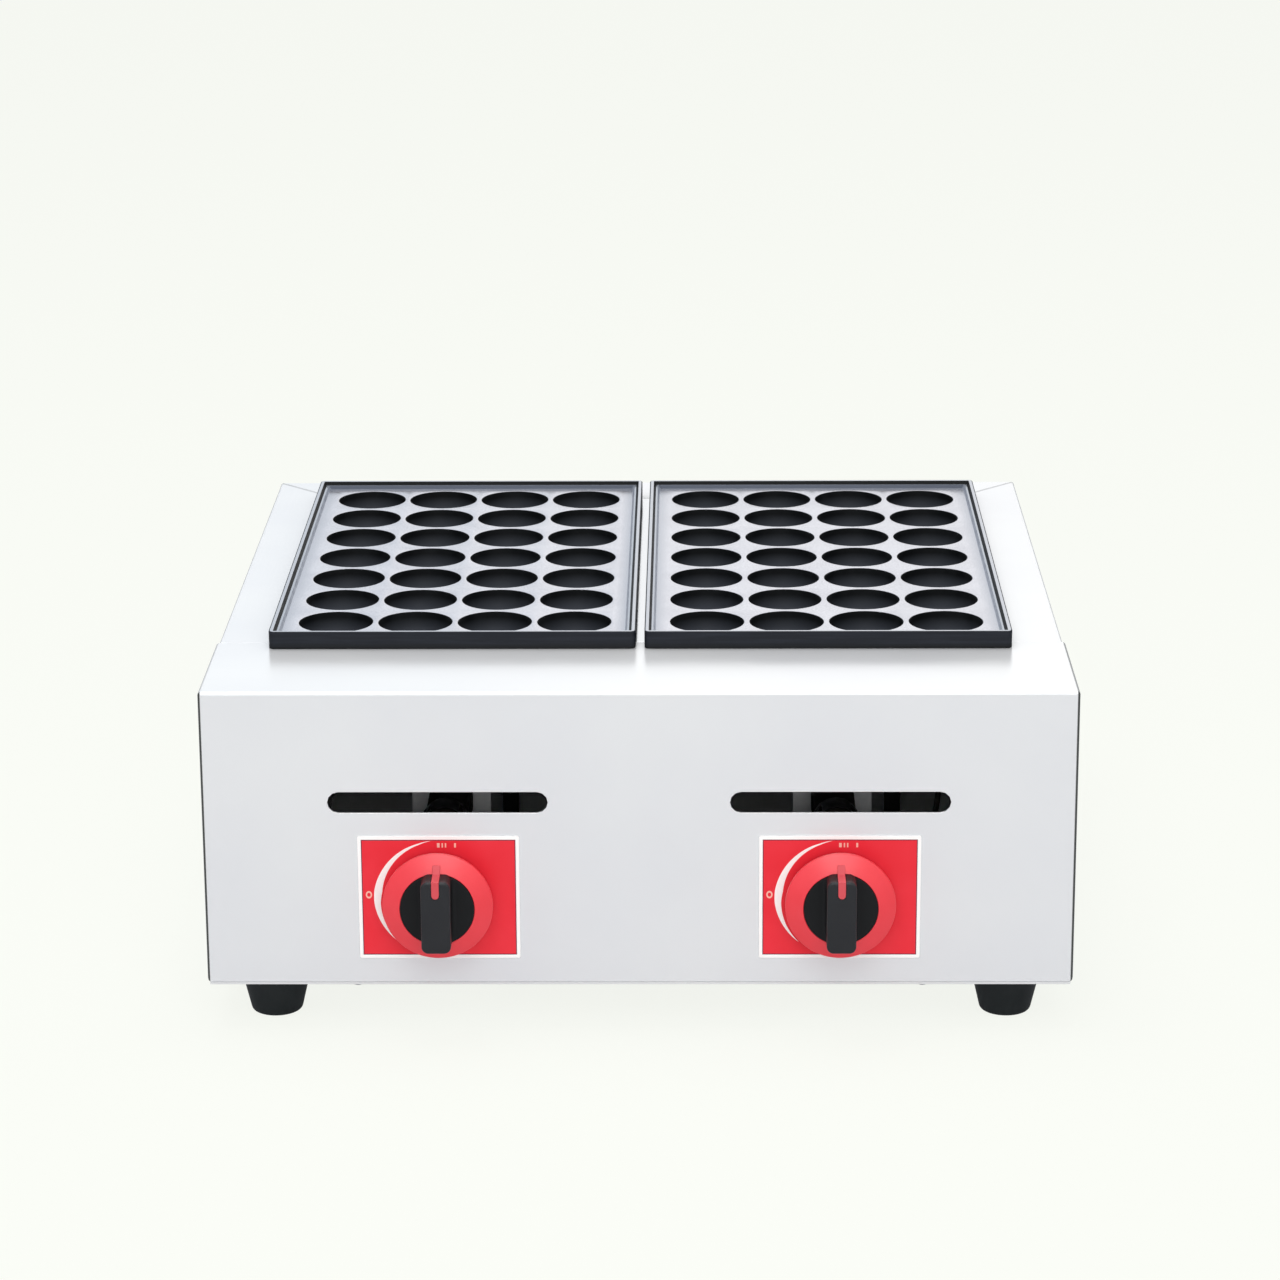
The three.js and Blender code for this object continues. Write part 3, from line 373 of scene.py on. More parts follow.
def step_painted_shade(name):
    """The slope inside the ledge: painted pale on the long sides and darker at the front and rear,
    as the light falls on them.
    """
    material, shader, where = new_material(name, Metallic=0.0, Roughness=0.4,
                                           Specular_IOR_Level=0.2)
    sideways, lengthways = in_from_edge(where)
    patchy = where.noise(140.0, 3.0).ramp(0.35, 0.65)
    pale = patchy.blend(srgb(132, 138, 150), srgb(150, 156, 167))
    # Painted light and shade: paler on the long sides, darker at the front and rear.
    across = (sideways - lengthways).ramp(-1 * MM, 1 * MM)
    dress(shader, Base_Color=across.blend(pale, srgb(80, 86, 99)))
    where.noise(1400.0).bump(shader, 0.01 * MM)
    return material


GROUND = ground_casting("ground_casting")
# The bowls' deep tint is a painted sheen, paler towards their bottoms.
COATING = baked_coating("black_coating", BLACK_COAT, 0.5, (1, 1, 1), 0.12,
                        (DECK - 3 * MM, DECK - 12 * MM, BOWL_SHEEN))
RIM_COATING = baked_coating("rim_coating", srgb(23, 26, 33), 0.46, (0.3, 0.3, 6), 0.22,
                            (STEEL_TOP + 3.5 * MM, STEEL_TOP + 0.8 * MM, RIM_FOOT_TINT))
STEP_COATING = step_painted_shade("step_painted_shade")
print("made", GROUND.name, COATING.name, RIM_COATING.name, STEP_COATING.name)

# %% [markdown]
# Moulded plastic and rubber look alike in their build: one colour that drifts a little, a fine
# texture from the mould, and shine that differs from place to place. Only the numbers differ.

# %% Plastic, rubber, ceramic and iron


def moulded(name, tint, drift, roughness, grain, depth, shine=0.5):
    """A moulded or cast skin: its colour drifts to a second tint; depth is in millimetres."""
    material, shader, where = new_material(name, Metallic=0.0, Specular_IOR_Level=shine)
    cloud = where.noise(55.0, 3.0)
    dress(shader, Base_Color=cloud.ramp(0.3, 0.7).blend(srgb(*tint), srgb(*drift)),
          Roughness=cloud.ramp(0.3, 0.7, roughness - 0.04, roughness + 0.05))
    where.noise(grain, 2.0, 0.6).bump(shader, depth * MM)
    return material


RED_PLASTIC = moulded("red_plastic", (238, 34, 50), (241, 43, 59), 0.4, 2600.0, 0.008, 1.0)
POINTER_RED = moulded("pointer_red", (208, 72, 80), (214, 82, 90), 0.4, 2600.0, 0.006, 0.35)
RUBBER = moulded("foot_rubber", (27, 31, 32), (36, 40, 41), 0.55, 1500.0, 0.03, 0.25)
LEAD_SKIN = moulded("lead_skin", (52, 50, 50), (66, 62, 60), 0.5, 1800.0, 0.02)
CERAMIC = moulded("glazed_ceramic", (226, 222, 210), (236, 233, 224), 0.22, 900.0, 0.01)
BURNER_IRON = moulded("burner_iron", (22, 22, 21), (36, 32, 30), 0.72, 650.0, 0.12, 0.2)
BRACKET_IRON = moulded("bracket_iron", (18, 19, 19), (28, 27, 27), 0.6, 1200.0, 0.03, 0.2)
print("made", len(bpy.data.materials), "materials so far")

# %% [markdown]
# The knob's grip is one black plastic; its bar's face is painted lighter and shinier as painted
# light, and the disc round it darker and duller as painted shade. So the colour and the shine follow
# the distance out from the cover.

# %% Black plastic of the grips
# Painted shade on the disc round the bar, painted light on the bar's face.
GRIP_SHADED_DISC = srgb(10, 11, 12)
GRIP_LIT_FACE = srgb(40, 41, 44)
DISC_SHADE_OUT = 28 * MM
FACE_LIGHT_OUT = 32.5 * MM


def grip_plastic(name):
    material, shader, where = new_material(name, Metallic=0.0, Specular_IOR_Level=0.3)
    out = where.axes()[1] * -1.0 + FRONT
    # Painted light and shade by distance out from the cover; the roughness follows it too.
    face_light = out.ramp(DISC_SHADE_OUT, FACE_LIGHT_OUT)
    cloud = where.noise(55.0, 3.0).ramp(0.3, 0.7, 0.0, 0.12)
    dress(shader, Base_Color=(face_light * 0.88 + cloud).blend(GRIP_SHADED_DISC, GRIP_LIT_FACE),
          Roughness=face_light.ramp(0.0, 1.0, 0.5, 0.36) + cloud * 0.3)
    where.noise(2400.0, 2.0, 0.6).bump(shader, 0.01 * MM)
    return material


BLACK_PLASTIC = grip_plastic("black_plastic")
print("made", BLACK_PLASTIC.name)

# %% [markdown]
# Brass fittings and plated steel are metals, so their colour tints what they mirror. Turning marks
# run round them, and a faint tarnish lies in clouds over that.

# %% Brass and plated steel


def turned_metal(name, bright, dull, roughness, depth, metal=1.0):
    material, shader, where = new_material(name, Metallic=metal)
    tarnish = where.noise(120.0, 4.0, 0.6)
    dress(shader, Base_Color=tarnish.ramp(0.4, 0.7).blend(srgb(*bright), srgb(*dull)),
          Roughness=tarnish.ramp(0.35, 0.7, roughness, roughness + 0.18))
    place(material, (300, 4000, 300)).noise(1.0).bump(shader, depth * MM)
    return material


BRASS = turned_metal("brass", (214, 182, 110), (176, 142, 84), 0.24, 0.01)
PLATED = turned_metal("plated_steel", (206, 208, 210), (176, 176, 172), 0.26, 0.008)
PIPE_STEEL = turned_metal("pipe_steel", (120, 122, 126), (84, 84, 88), 0.38, 0.02)
ZINC_SHEET = turned_metal("zinc_sheet", (246, 247, 248), (234, 236, 238), 0.5, 0.004, 0.1)
print("made", BRASS.name, PLATED.name, PIPE_STEEL.name, ZINC_SHEET.name)

# %% [markdown]
# The plate behind a knob is printed: a white border, a thin dark line inside it, a red field, and a
# white crescent that grows from the top to the left and ends below, to say that the flame gets
# smaller. All of it is drawn by distances from the knob's axis, so no picture is needed. The small
# marks round it are plain shapes: a few bars at the top and a ring at the left.

# %% Printed control plate
PRINT_WHITE = srgb(255, 254, 253)
PRINT_RED = srgb(234, 43, 57)
PRINT_RED_FADED = srgb(238, 51, 65)
PRINT_LINE = srgb(110, 44, 66)
PRINT_CREAM = srgb(250, 196, 180)
PRINT_EDGE = 0.1 * MM
MARK_BARS = ((0.1, 0.7), (2.2, 0.35), (3.9, 0.35), (8.9, 0.5))


def box_mask(x, z, centre, half, soft=0.08):
    """1 inside a rectangle given in millimetres, 0 outside."""
    dx = (x - centre[0] * MM).math("ABSOLUTE") - half[0] * MM
    dz = (z - centre[1] * MM).math("ABSOLUTE") - half[1] * MM
    return dx.math("MAXIMUM", dz).ramp(-soft * MM, soft * MM, 1.0, 0.0)


def crescent_mask(x, z):
    """1 on the crescent, whose width follows the angle from the top towards the left."""
    radius = (x * x + z * z).math("SQRT")
    angle = (x * -1.0).math("ARCTAN2", z).math("MULTIPLY", 180 / math.pi)
    swell = angle.ramp(6.0, 84.0).math("MINIMUM", angle.ramp(84.0, 140.0, 1.0, 0.0))
    outer = angle.ramp(20.0, 84.0, 31.8 * MM, 34.3 * MM) - angle.ramp(96.0, 140.0, 0.0, 1.3 * MM)
    inner = outer - swell * (4.2 * MM)
    between = (outer - radius).ramp(-PRINT_EDGE, PRINT_EDGE)
    between = between * (radius - inner).ramp(-PRINT_EDGE, PRINT_EDGE)
    return between * swell.ramp(0.0, 0.04)


def control_print(name, side):
    material, shader, where = new_material(name, Metallic=0.0, Roughness=0.34,
                                           Specular_IOR_Level=0.25)
    x, y, z = place(material, centre=(side * KNOB_X, 0, KNOB_Z)).axes()
    ring_x, ring_z = (x + 37.0 * MM) / 1.6, (z - 1.5 * MM) / 2.0
    ring = (ring_x * ring_x + ring_z * ring_z).math("SQRT")
    marks = (ring / MM - 0.8).math("ABSOLUTE").ramp(0.16, 0.3, 1.0, 0.0)
    for bar_x, wide in MARK_BARS:
        marks = marks.math("MAXIMUM", box_mask(x, z, (bar_x, 29.1), (wide, 1.2)))
    red = where.noise(40.0).ramp(0.3, 0.7).blend(PRINT_RED, PRINT_RED_FADED)
    colour = box_mask(x, z, (0, 0), (40.65, 32.2)).blend(PRINT_WHITE, PRINT_LINE)
    colour = box_mask(x, z, (0, 0), (40.15, 31.7)).blend(colour, red)
    colour = marks.blend(colour, PRINT_CREAM)
    dress(shader, Base_Color=crescent_mask(x, z).blend(colour, PRINT_WHITE))
    where.noise(1500.0).bump(shader, 0.004 * MM)
    return material


PRINTS = {word: control_print(word + "_control_print", side) for word, side in SIDES.items()}
print("printed plates:", sorted(PRINTS))

# %% [markdown]
# ## Helpers for shapes
# Most pieces are turned, folded or extruded, so they start from an outline. rounded() replaces each
# corner of an outline by a small arc, because real edges catch light. skin() joins rings of points
# by faces, which makes anything from a washer to a frame.

# %% Outlines and rings


def polar(radius, angle):
    return radius * math.cos(angle), radius * math.sin(angle)


def rounded(points, radii, steps=4):
    """A closed outline in 2D with each corner turned into an arc of its own radius."""
    made = []
    for i, (point, radius) in enumerate(zip(points, radii)):
        here = Vector(point)
        before = Vector(points[i - 1]) - here
        after = Vector(points[(i + 1) % len(points)]) - here
        half = before.angle(after, math.pi) / 2
        if radius <= 0 or half < 0.05 or half > math.pi / 2 - 0.02:
            made.append(tuple(point))
            continue
        back = min(radius / math.tan(half), before.length / 2.01, after.length / 2.01)
        start, end = here + before.normalized() * back, here + after.normalized() * back
        for step in range(steps + 1):
            t = step / steps
            made.append(tuple(start * (1 - t) ** 2 + here * 2 * t * (1 - t) + end * t ** 2))
    return made


def strips(shape, rings, closed=False, finishes=None):
    """Faces between each ring and the next, marked with their finishes where those are given."""
    layers = shape.faces.layers.int
    mark = finishes and (layers.get("coated") or layers.new("coated"))
    rows = [[shape.verts.new(point) for point in ring] for ring in rings]
    for level, (one, two) in enumerate(zip(rows, rows[1:] + rows[:1] * closed)):
        for i in range(len(one)):
            j = (i + 1) % len(one)
            face = shape.faces.new((one[i], one[j], two[j], two[i]))
            if finishes:
                face[mark] = finishes[level]
    return rows


def skin(rings, closed=True):
    """A closed shape over rings: its last ring joined to its first, or else both capped."""
    shape = bmesh.new()
    rows = strips(shape, rings, closed)
    if not closed:
        shape.faces.new(rows[0])
        shape.faces.new(rows[-1])
    bmesh.ops.remove_doubles(shape, verts=shape.verts, dist=1e-7)
    bmesh.ops.dissolve_degenerate(shape, edges=shape.edges, dist=1e-8)
    bmesh.ops.recalc_face_normals(shape, faces=shape.faces)
    return shape


def turned(profile, centre, axis="z", sides=96):
    """A closed profile of (radius, height) pairs turned round an axis through centre."""
    rings = []
    for side in range(sides):
        across, up = polar(1, 2 * math.pi * side / sides)
        ring = [(r * across, r * up, h) if axis == "z" else (r * across, h, r * up)
                for r, h in profile]
        rings.append([Vector(centre) + Vector(point) for point in ring])
    return skin(rings)


def to_mesh(shape, name, surfaces=()):
    mesh = bpy.data.meshes.new(name)
    for surface in surfaces:
        mesh.materials.append(surface)
    shape.to_mesh(mesh)
    shape.free()
    return mesh


print("a rounded square has", len(rounded([(0, 0), (1, 0), (1, 1), (0, 1)], [0.1] * 4)), "points")

# %% [markdown]
# keep() finishes every piece in the same way: it makes the object at the origin, shades curved
# faces smooth and leaves real edges sharp, gives it its material, parents it to the empty of the
# body it rides on, and hides the CAD nodes it stands for.

# %% Finish a piece


def keep(name, shape, surface, body, finish, nodes, crease=35.0):
    if isinstance(shape, bpy.types.Mesh):
        mesh = shape
        mesh.name = name
        mesh.materials.clear()
        mesh.materials.append(surface)
    else:
        mesh = to_mesh(shape, name, surface if isinstance(surface, list) else [surface])
    mesh.shade_smooth()
    mesh.set_sharp_from_angle(angle=math.radians(crease))
    piece = bpy.data.objects.new(name, mesh)
    scene.collection.objects.link(piece)
    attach(piece, body)
    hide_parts(*nodes)
    return piece


def merged_copy(name):
    """A CAD node's faces as a clean shape: corners welded, and flat areas made one face."""
    shape = bmesh.new()
    shape.from_mesh(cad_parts[name].data)
    bmesh.ops.remove_doubles(shape, verts=shape.verts, dist=0.002 * MM)
    bmesh.ops.dissolve_degenerate(shape, edges=shape.edges, dist=0.001 * MM)
    bmesh.ops.dissolve_limit(shape, angle_limit=math.radians(0.6),
                             verts=shape.verts, edges=shape.edges)
    return shape


def soften(piece, width, segments=2, angle=50.0):
    """A small round on the edges sharper than angle, as a live Bevel."""
    bevel = piece.modifiers.new("edges", "BEVEL")
    bevel.width = width
    bevel.segments = segments
    bevel.limit_method = "ANGLE"
    bevel.angle_limit = math.radians(angle)
    bevel.harden_normals = True
    bevel.use_clamp_overlap = True
    piece.modifiers.new("flat faces", "WEIGHTED_NORMAL").keep_sharp = True


print("pieces are kept by name and body")

# %% [markdown]
# ## Steel body
# The body is five folded sheets and a rail. Their folds, notches and slots are set by what has to
# fit through them, so the CAD already has the true shape: here each sheet is a welded copy of its
# node. The bends are shaded round, and a small round on the cut edges gives the bright line that a
# deburred sheet shows. The front's lower bend is pressed tighter than the others, so its round
# outer side is pushed out to a square corner that meets the floor panel in a fine line.

# %% Body sheets
SHEETS = {
    "front_cover": COVER_STEEL,
    "rear_panel": REAR_STEEL,
    "bottom_panel": FLOOR_STEEL,
    "centre_rail": RAIL_STEEL,
    "left_side_panel": PANEL_STEEL,
    "right_side_panel": PANEL_STEEL,
}
BEND = 2 * MM


def tighten_lower_bend(shape):
    """The outer round of the front's lower bend, made a square corner."""
    for corner in shape.verts:
        out = max(abs(corner.co.x) - (CASING_HALF - BEND), 0.0)
        ahead = FRONT + BEND - corner.co.y
        below = CASING_FOOT + BEND - corner.co.z
        reach = math.hypot(ahead, below)
        if min(ahead, below) > 0.01 * MM and math.hypot(out, reach) > 0.75 * BEND:
            stretch = reach / max(ahead, below)
            corner.co.y = FRONT + BEND - ahead * stretch
            corner.co.z = CASING_FOOT + BEND - below * stretch


for name, surface in SHEETS.items():
    sheet_shape = merged_copy(name)
    if name == "front_cover":
        tighten_lower_bend(sheet_shape)
    soften(keep(name + "_sheet", sheet_shape, surface, "casing", "steel_sheet", [name]), 0.12 * MM)
print("sheets:", ", ".join(SHEETS))

# %% [markdown]
# ## Mould plates
# A plate is one casting, but it follows a rule: the same mould again and again on a grid, inside
# one frame. So one tile is modelled with great care, a square of deck that runs into the small
# round lip of a mould, its bowl, and the cup below, and Geometry Nodes lay it out in 4 columns and
# 7 rows. The tile's edge points meet their neighbours' and are merged into one surface.

# %% One tile of the plate
PITCH_X = 43.3 * MM
PITCH_Y = 43.8 * MM
COLUMNS = 4
ROWS = 7
BOWL_RADIUS = 20 * MM
BOWL_DEPTH = 18.5 * MM
LIP = 0.55 * MM
CUP_RADIUS = 21.6 * MM
CUP_DEPTH = 21.5 * MM
PLATE_UNDER = STEEL_TOP + 0.2 * MM
EDGE_STEPS = 12
BOWL_STEPS = 12
LIP_STEPS = 4
CUP_STEPS = 7
NEARLY_ZERO = 1e-9
QUARTER = math.pi / 2
AS_GROUND, AS_COATED, AS_RIM, AS_STEP = range(4)


def square_ring(z):
    """Points round the tile's edge, evenly spaced on each side."""
    half_x, half_y = PITCH_X / 2, PITCH_Y / 2
    corners = [(half_x, -half_y), (half_x, half_y), (-half_x, half_y), (-half_x, -half_y)]
    ring = []
    for (x, y), (to_x, to_y) in zip(corners, corners[1:] + corners[:1]):
        for t in (step / EDGE_STEPS for step in range(EDGE_STEPS)):
            ring.append(Vector((x + (to_x - x) * t, y + (to_y - y) * t, z)))
    return ring


def round_ring(radius, z):
    """A circle whose points lie in the same directions as the tile's edge points."""
    return [Vector((*polar(radius, math.atan2(point.y, point.x)), z)) for point in square_ring(z)]


def tile_rings():
    """The tile from its top edge, down the bowl; then from its lower edge, down the cup."""
    top = [square_ring(DECK), round_ring(BOWL_RADIUS + LIP, DECK)]
    for step in range(1, LIP_STEPS + 1):
        across, up = polar(1, QUARTER * step / LIP_STEPS)
        top.append(round_ring(BOWL_RADIUS + LIP * (1 - up), DECK - LIP * (1 - across)))
    for step in range(1, BOWL_STEPS + 1):
        across, down = polar(1, QUARTER * step / BOWL_STEPS)
        height = DECK - LIP - (BOWL_DEPTH - LIP) * down
        top.append(round_ring(max(BOWL_RADIUS * across, NEARLY_ZERO), height))
    under = [square_ring(PLATE_UNDER)]
    start = math.asin((DECK - PLATE_UNDER) / CUP_DEPTH)
    for step in range(CUP_STEPS + 1):
        across, down = polar(1, start + (QUARTER - start) * step / CUP_STEPS)
        under.append(round_ring(max(CUP_RADIUS * across, NEARLY_ZERO), DECK - CUP_DEPTH * down))
    return top, under


def tile_mesh():
    """The tile as a mesh; an attribute tells the coated faces from the ground deck."""
    top, under = tile_rings()
    shape = bmesh.new()
    strips(shape, top, finishes=[AS_GROUND] * 2 + [AS_COATED] * (len(top) - 3))
    strips(shape, under, finishes=[AS_RIM] * (len(under) - 1))
    bmesh.ops.remove_doubles(shape, verts=shape.verts, dist=1e-6)
    return to_mesh(shape, "mould_tile")


tile = bpy.data.objects.new("mould_tile", tile_mesh())
print("one tile has", len(tile.data.polygons), "faces")

# %% [markdown]
# The frame round the moulds has a flat strip of deck, a step with a narrow ledge, a lip and the
# outer wall. Its section is drawn once, with a small arc at each corner, and swept round the
# plate's rounded rectangle. Its inner edge has a point wherever the outermost tiles have one.

# %% Frame of the plate
PLATE_CORNER = 3 * MM
RIM_TOP = round(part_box("right_mould_plate")[1].z, 6) - 0.05 * MM
LEDGE = DECK + 1.9 * MM
CORNER_STEPS = 6
INNER_X = COLUMNS * PITCH_X / 2
INNER_Y = ROWS * PITCH_Y / 2
FRAME_CORNERS = [(1, -1), (1, 1), (-1, 1), (-1, -1)]
SIDE_STEPS = [ROWS * EDGE_STEPS, COLUMNS * EDGE_STEPS] * 2


def frame_section():
    """Distance in from the plate's outer face, and height, from the deck up and over."""
    outline = [(5.8 * MM, DECK), (4.8 * MM, LEDGE), (3.6 * MM, LEDGE), (2.4 * MM, RIM_TOP),
               (0.0, RIM_TOP), (0.0, PLATE_UNDER), (9 * MM, PLATE_UNDER), (9 * MM, DECK)]
    return rounded(outline, [r * MM for r in (0.4, 0.3, 0.3, 0.45, 0.6, 0.3, 0, 0)])[:-2]


def sweep_ring(inset, z):
    """One line of the frame at a distance in from its outer face."""
    corner = max(PLATE_CORNER - inset, 0.25 * MM)
    half_x, half_y = PLATE_HALF_X - inset - corner, PLATE_HALF_Y - inset - corner

    def on_corner(quarter, angle):
        sx, sy = FRAME_CORNERS[quarter % 4]
        return Vector((sx * half_x, sy * half_y, z)) + Vector((*polar(1, angle), 0)) * corner

    ring = []
    for quarter, steps in enumerate(SIDE_STEPS):
        for step in range(CORNER_STEPS + 1):
            ring.append(on_corner(quarter, QUARTER * (quarter - 1 + step / CORNER_STEPS)))
        here, there = ring[-1], on_corner(quarter + 1, QUARTER * quarter)
        ring += [here.lerp(there, step / steps) for step in range(1, steps)]
    return ring


def inner_ring(z):
    """The outer edge of the grid of tiles, with the corner's points all in one place."""
    ring = []
    corners = [Vector((sx * INNER_X, sy * INNER_Y, z)) for sx, sy in FRAME_CORNERS]
    for here, there, steps in zip(corners, corners[1:] + corners[:1], SIDE_STEPS):
        ring += [here] * (CORNER_STEPS + 1)
        ring += [here.lerp(there, step / steps) for step in range(1, steps)]
    return ring


def strip_finish(inset, z, next_z):
    """Flat strips are ground, the lip's inner wall is coated, the step has its painted shade, the
    rest is rim.
    """
    if z > PLATE_UNDER + 1 * MM:
        if abs(z - next_z) < 0.02 * MM:
            return AS_GROUND
        if 2.2 * MM < inset < 3.7 * MM:
            return AS_COATED
    return AS_STEP if 4.7 * MM < inset < 6 * MM else AS_RIM


def frame_mesh():
    section = frame_section()
    rings = [inner_ring(DECK)] + [sweep_ring(*point) for point in section]
    rings.append(inner_ring(PLATE_UNDER))
    insets = [INNER_X] + [inset for inset, z in section]
    heights = [ring[0].z for ring in rings]
    shape = bmesh.new()
    strips(shape, rings, finishes=list(map(strip_finish, insets, heights, heights[1:])))
    bmesh.ops.remove_doubles(shape, verts=shape.verts, dist=1e-6)
    return to_mesh(shape, "plate_frame")


plate_frame = bpy.data.objects.new("plate_frame", frame_mesh())
print("the frame has", len(plate_frame.data.polygons), "faces")

# %% [markdown]
# new_tree() makes a Geometry Nodes tree with named inputs. grow() gives such a tree to an empty
# object, sets the inputs by their identifiers, and takes the result as a plain mesh, with the
# modifier removed again.

# %% Helpers for Geometry Nodes


def new_tree(name, inputs):
    """A tree with named inputs, and those inputs as Wires."""
    tree = bpy.data.node_groups.new(name, "GeometryNodeTree")
    tree.interface.new_socket("Geometry", in_out="OUTPUT", socket_type="NodeSocketGeometry")
    for label, kind in inputs.items():
        tree.interface.new_socket(label, in_out="INPUT", socket_type="NodeSocket" + kind)
    start = tree.nodes.new("NodeGroupInput")
    return tree, {label: Wire(tree, start.outputs[label]) for label in inputs}


def geometry(tree, kind, inputs=None, output="Geometry", **settings):
    return node(tree, "GeometryNode" + kind, inputs, output, **settings)


def finish_tree(tree, made, finish):
    """The end of a tree: real geometry in one finish."""
    real = geometry(tree, "RealizeInstances", {"Geometry": made})
    painted = geometry(tree, "SetMaterial", {"Geometry": real, "Material": finish})
    node(tree, "NodeGroupOutput", {"Geometry": painted})


def grow(tree, values, helpers=()):
    """The tree's result as a mesh; helpers are objects that it reads, removed afterwards."""
    carrier = bpy.data.objects.new("carrier", bpy.data.meshes.new("carrier"))
    for shown in (*helpers, carrier):
        scene.collection.objects.link(shown)
    modifier = carrier.modifiers.new("grow", "NODES")
    modifier.node_group = tree
    for item in tree.interface.items_tree:
        if item.in_out == "INPUT" and item.name in values:
            modifier[item.identifier] = values[item.name]
    graph = bpy.context.evaluated_depsgraph_get()
    mesh = bpy.data.meshes.new_from_object(carrier.evaluated_get(graph), depsgraph=graph)
    carrier.modifiers.remove(modifier)
    bpy.data.objects.remove(carrier)
    for helper in helpers:
        scene.collection.objects.unlink(helper)
    return mesh


print("trees are grown into plain meshes")

# %% [markdown]
# The tree of the plate: a grid of points, a tile on each, the frame joined to them, equal corners
# merged, and the finishes set by the attribute on the faces. The plates are the same casting, so
# the tree is grown once and placed twice.

# %% Tree of the mould plate
plate_tree, give = new_tree("mould_plate", {
    "Columns": "Int", "Rows": "Int", "Pitch X": "Float", "Pitch Y": "Float",
    "Tile": "Object", "Frame": "Object",
    "Ground": "Material", "Coating": "Material", "Rim": "Material", "Step": "Material",
})
grid = geometry(plate_tree, "MeshGrid", {
    "Size X": (give["Columns"] - 1.0) * give["Pitch X"],
    "Size Y": (give["Rows"] - 1.0) * give["Pitch Y"],
    "Vertices X": give["Columns"], "Vertices Y": give["Rows"],
}, "Mesh")
one_tile = geometry(plate_tree, "ObjectInfo", {"Object": give["Tile"]})
the_frame = geometry(plate_tree, "ObjectInfo", {"Object": give["Frame"]})
laid = geometry(plate_tree, "InstanceOnPoints", {"Points": grid, "Instance": one_tile},
                "Instances")
real = geometry(plate_tree, "RealizeInstances", {"Geometry": laid})
joined = geometry(plate_tree, "JoinGeometry", {"Geometry": the_frame})
plug(joined.socket.node.inputs["Geometry"], real)
painted = geometry(plate_tree, "MergeByDistance", {"Geometry": joined, "Distance": 0.01 * MM})
coated = geometry(plate_tree, "InputNamedAttribute", {"Name": "coated"}, "Attribute",
                  data_type="INT")
painted = geometry(plate_tree, "SetMaterial", {"Geometry": painted, "Material": give["Ground"]})
for value, label in ((AS_COATED, "Coating"), (AS_RIM, "Rim"), (AS_STEP, "Step")):
    chosen = node(plate_tree, "FunctionNodeCompare", {2: coated, 3: value}, "Result",
                  data_type="INT", operation="EQUAL")
    painted = geometry(plate_tree, "SetMaterial", {
        "Geometry": painted, "Material": give[label], "Selection": chosen,
    })
node(plate_tree, "NodeGroupOutput", {"Geometry": painted})
plate_mesh = grow(plate_tree, {
    "Columns": COLUMNS, "Rows": ROWS, "Pitch X": PITCH_X, "Pitch Y": PITCH_Y,
    "Tile": tile, "Frame": plate_frame,
    "Ground": GROUND, "Coating": COATING, "Rim": RIM_COATING, "Step": STEP_COATING,
}, [tile, plate_frame])
print("a plate has", len(plate_mesh.polygons), "faces in", len(plate_mesh.materials), "finishes")

# %% Place both plates
for word, side in SIDES.items():
    casting = bmesh.new()
    casting.from_mesh(plate_mesh)
    bmesh.ops.recalc_face_normals(casting, faces=casting.faces)
    bmesh.ops.translate(casting, verts=casting.verts, vec=(side * PLATE_X, PLATE_Y, 0))
    print(word, "plate has open edges:", sum(not edge.is_manifold for edge in casting.edges))
    keep(word + "_mould_casting", casting, list(plate_mesh.materials), word + "_mould",
         "mould_coating", [word + "_mould_plate"], crease=30.0)

# %% [markdown]
# ## Control plates
# The printed plate is a thin sheet with small round corners and a hole for the stem. It is skinned
# from rings of points that lie on spokes round the stem, so that the hole stays truly round.

# %% Control plates
CONTROL_HALF_X, _, CONTROL_HALF_Z = half_size("right_control_plate")
CONTROL_CORNER = 1 * MM
CONTROL_BACK = 0.2 * MM
CONTROL_FACE = 0.8 * MM
CONTROL_EDGE = 0.12 * MM
STEM_HOLE = 6 * MM
SPOKES = 48


def rounded_box(half_x, half_z, radius, steps=6):
    """Points round a rectangle with round corners, evenly many on each quarter."""
    ring = []
    for quarter, (sx, sz) in enumerate(((1, 1), (-1, 1), (-1, -1), (1, -1))):
        for step in range(steps + 1):
            across, up = polar(radius, QUARTER * (quarter + step / steps))
            ring.append((sx * (half_x - radius) + across, sz * (half_z - radius) + up))
    return ring


def spokes():
    """Angles round the stem, each with the point of the plate's edge that lies that way."""
    corners = rounded_box(CONTROL_HALF_X, CONTROL_HALF_Z, CONTROL_CORNER)
    found = {math.atan2(z, x): (x, z) for x, z in corners}
    for step in range(SPOKES):
        angle = 2 * math.pi * (step + 0.5) / SPOKES - math.pi
        across, up = polar(1, angle)
        x, z = polar(min(CONTROL_HALF_X / abs(across), CONTROL_HALF_Z / abs(up)), angle)
        if max(CONTROL_HALF_X - abs(x), CONTROL_HALF_Z - abs(z)) > CONTROL_CORNER:
            found[angle] = (x, z)
    return sorted(found.items())


def control_plate(side):
    edge = [point for angle, point in spokes()]
    hole = [polar(STEM_HOLE, angle) for angle, point in spokes()]
    face_edge = [(x * 0.9985, z * 0.998) for x, z in edge]
    rings = []
    for ring, out in ((edge, CONTROL_BACK), (edge, CONTROL_FACE - CONTROL_EDGE),
                      (face_edge, CONTROL_FACE), (hole, CONTROL_FACE), (hole, CONTROL_BACK)):
        rings.append([Vector((side * KNOB_X + x, FRONT - out, KNOB_Z + z)) for x, z in ring])
    return skin(rings)


for word, side in SIDES.items():
    keep(word + "_printed_plate", control_plate(side), PRINTS[word], "casing", "control_print",
         [word + "_control_plate"])
print("half a control plate:", [round(size / MM, 1) for size in (CONTROL_HALF_X, CONTROL_HALF_Z)])

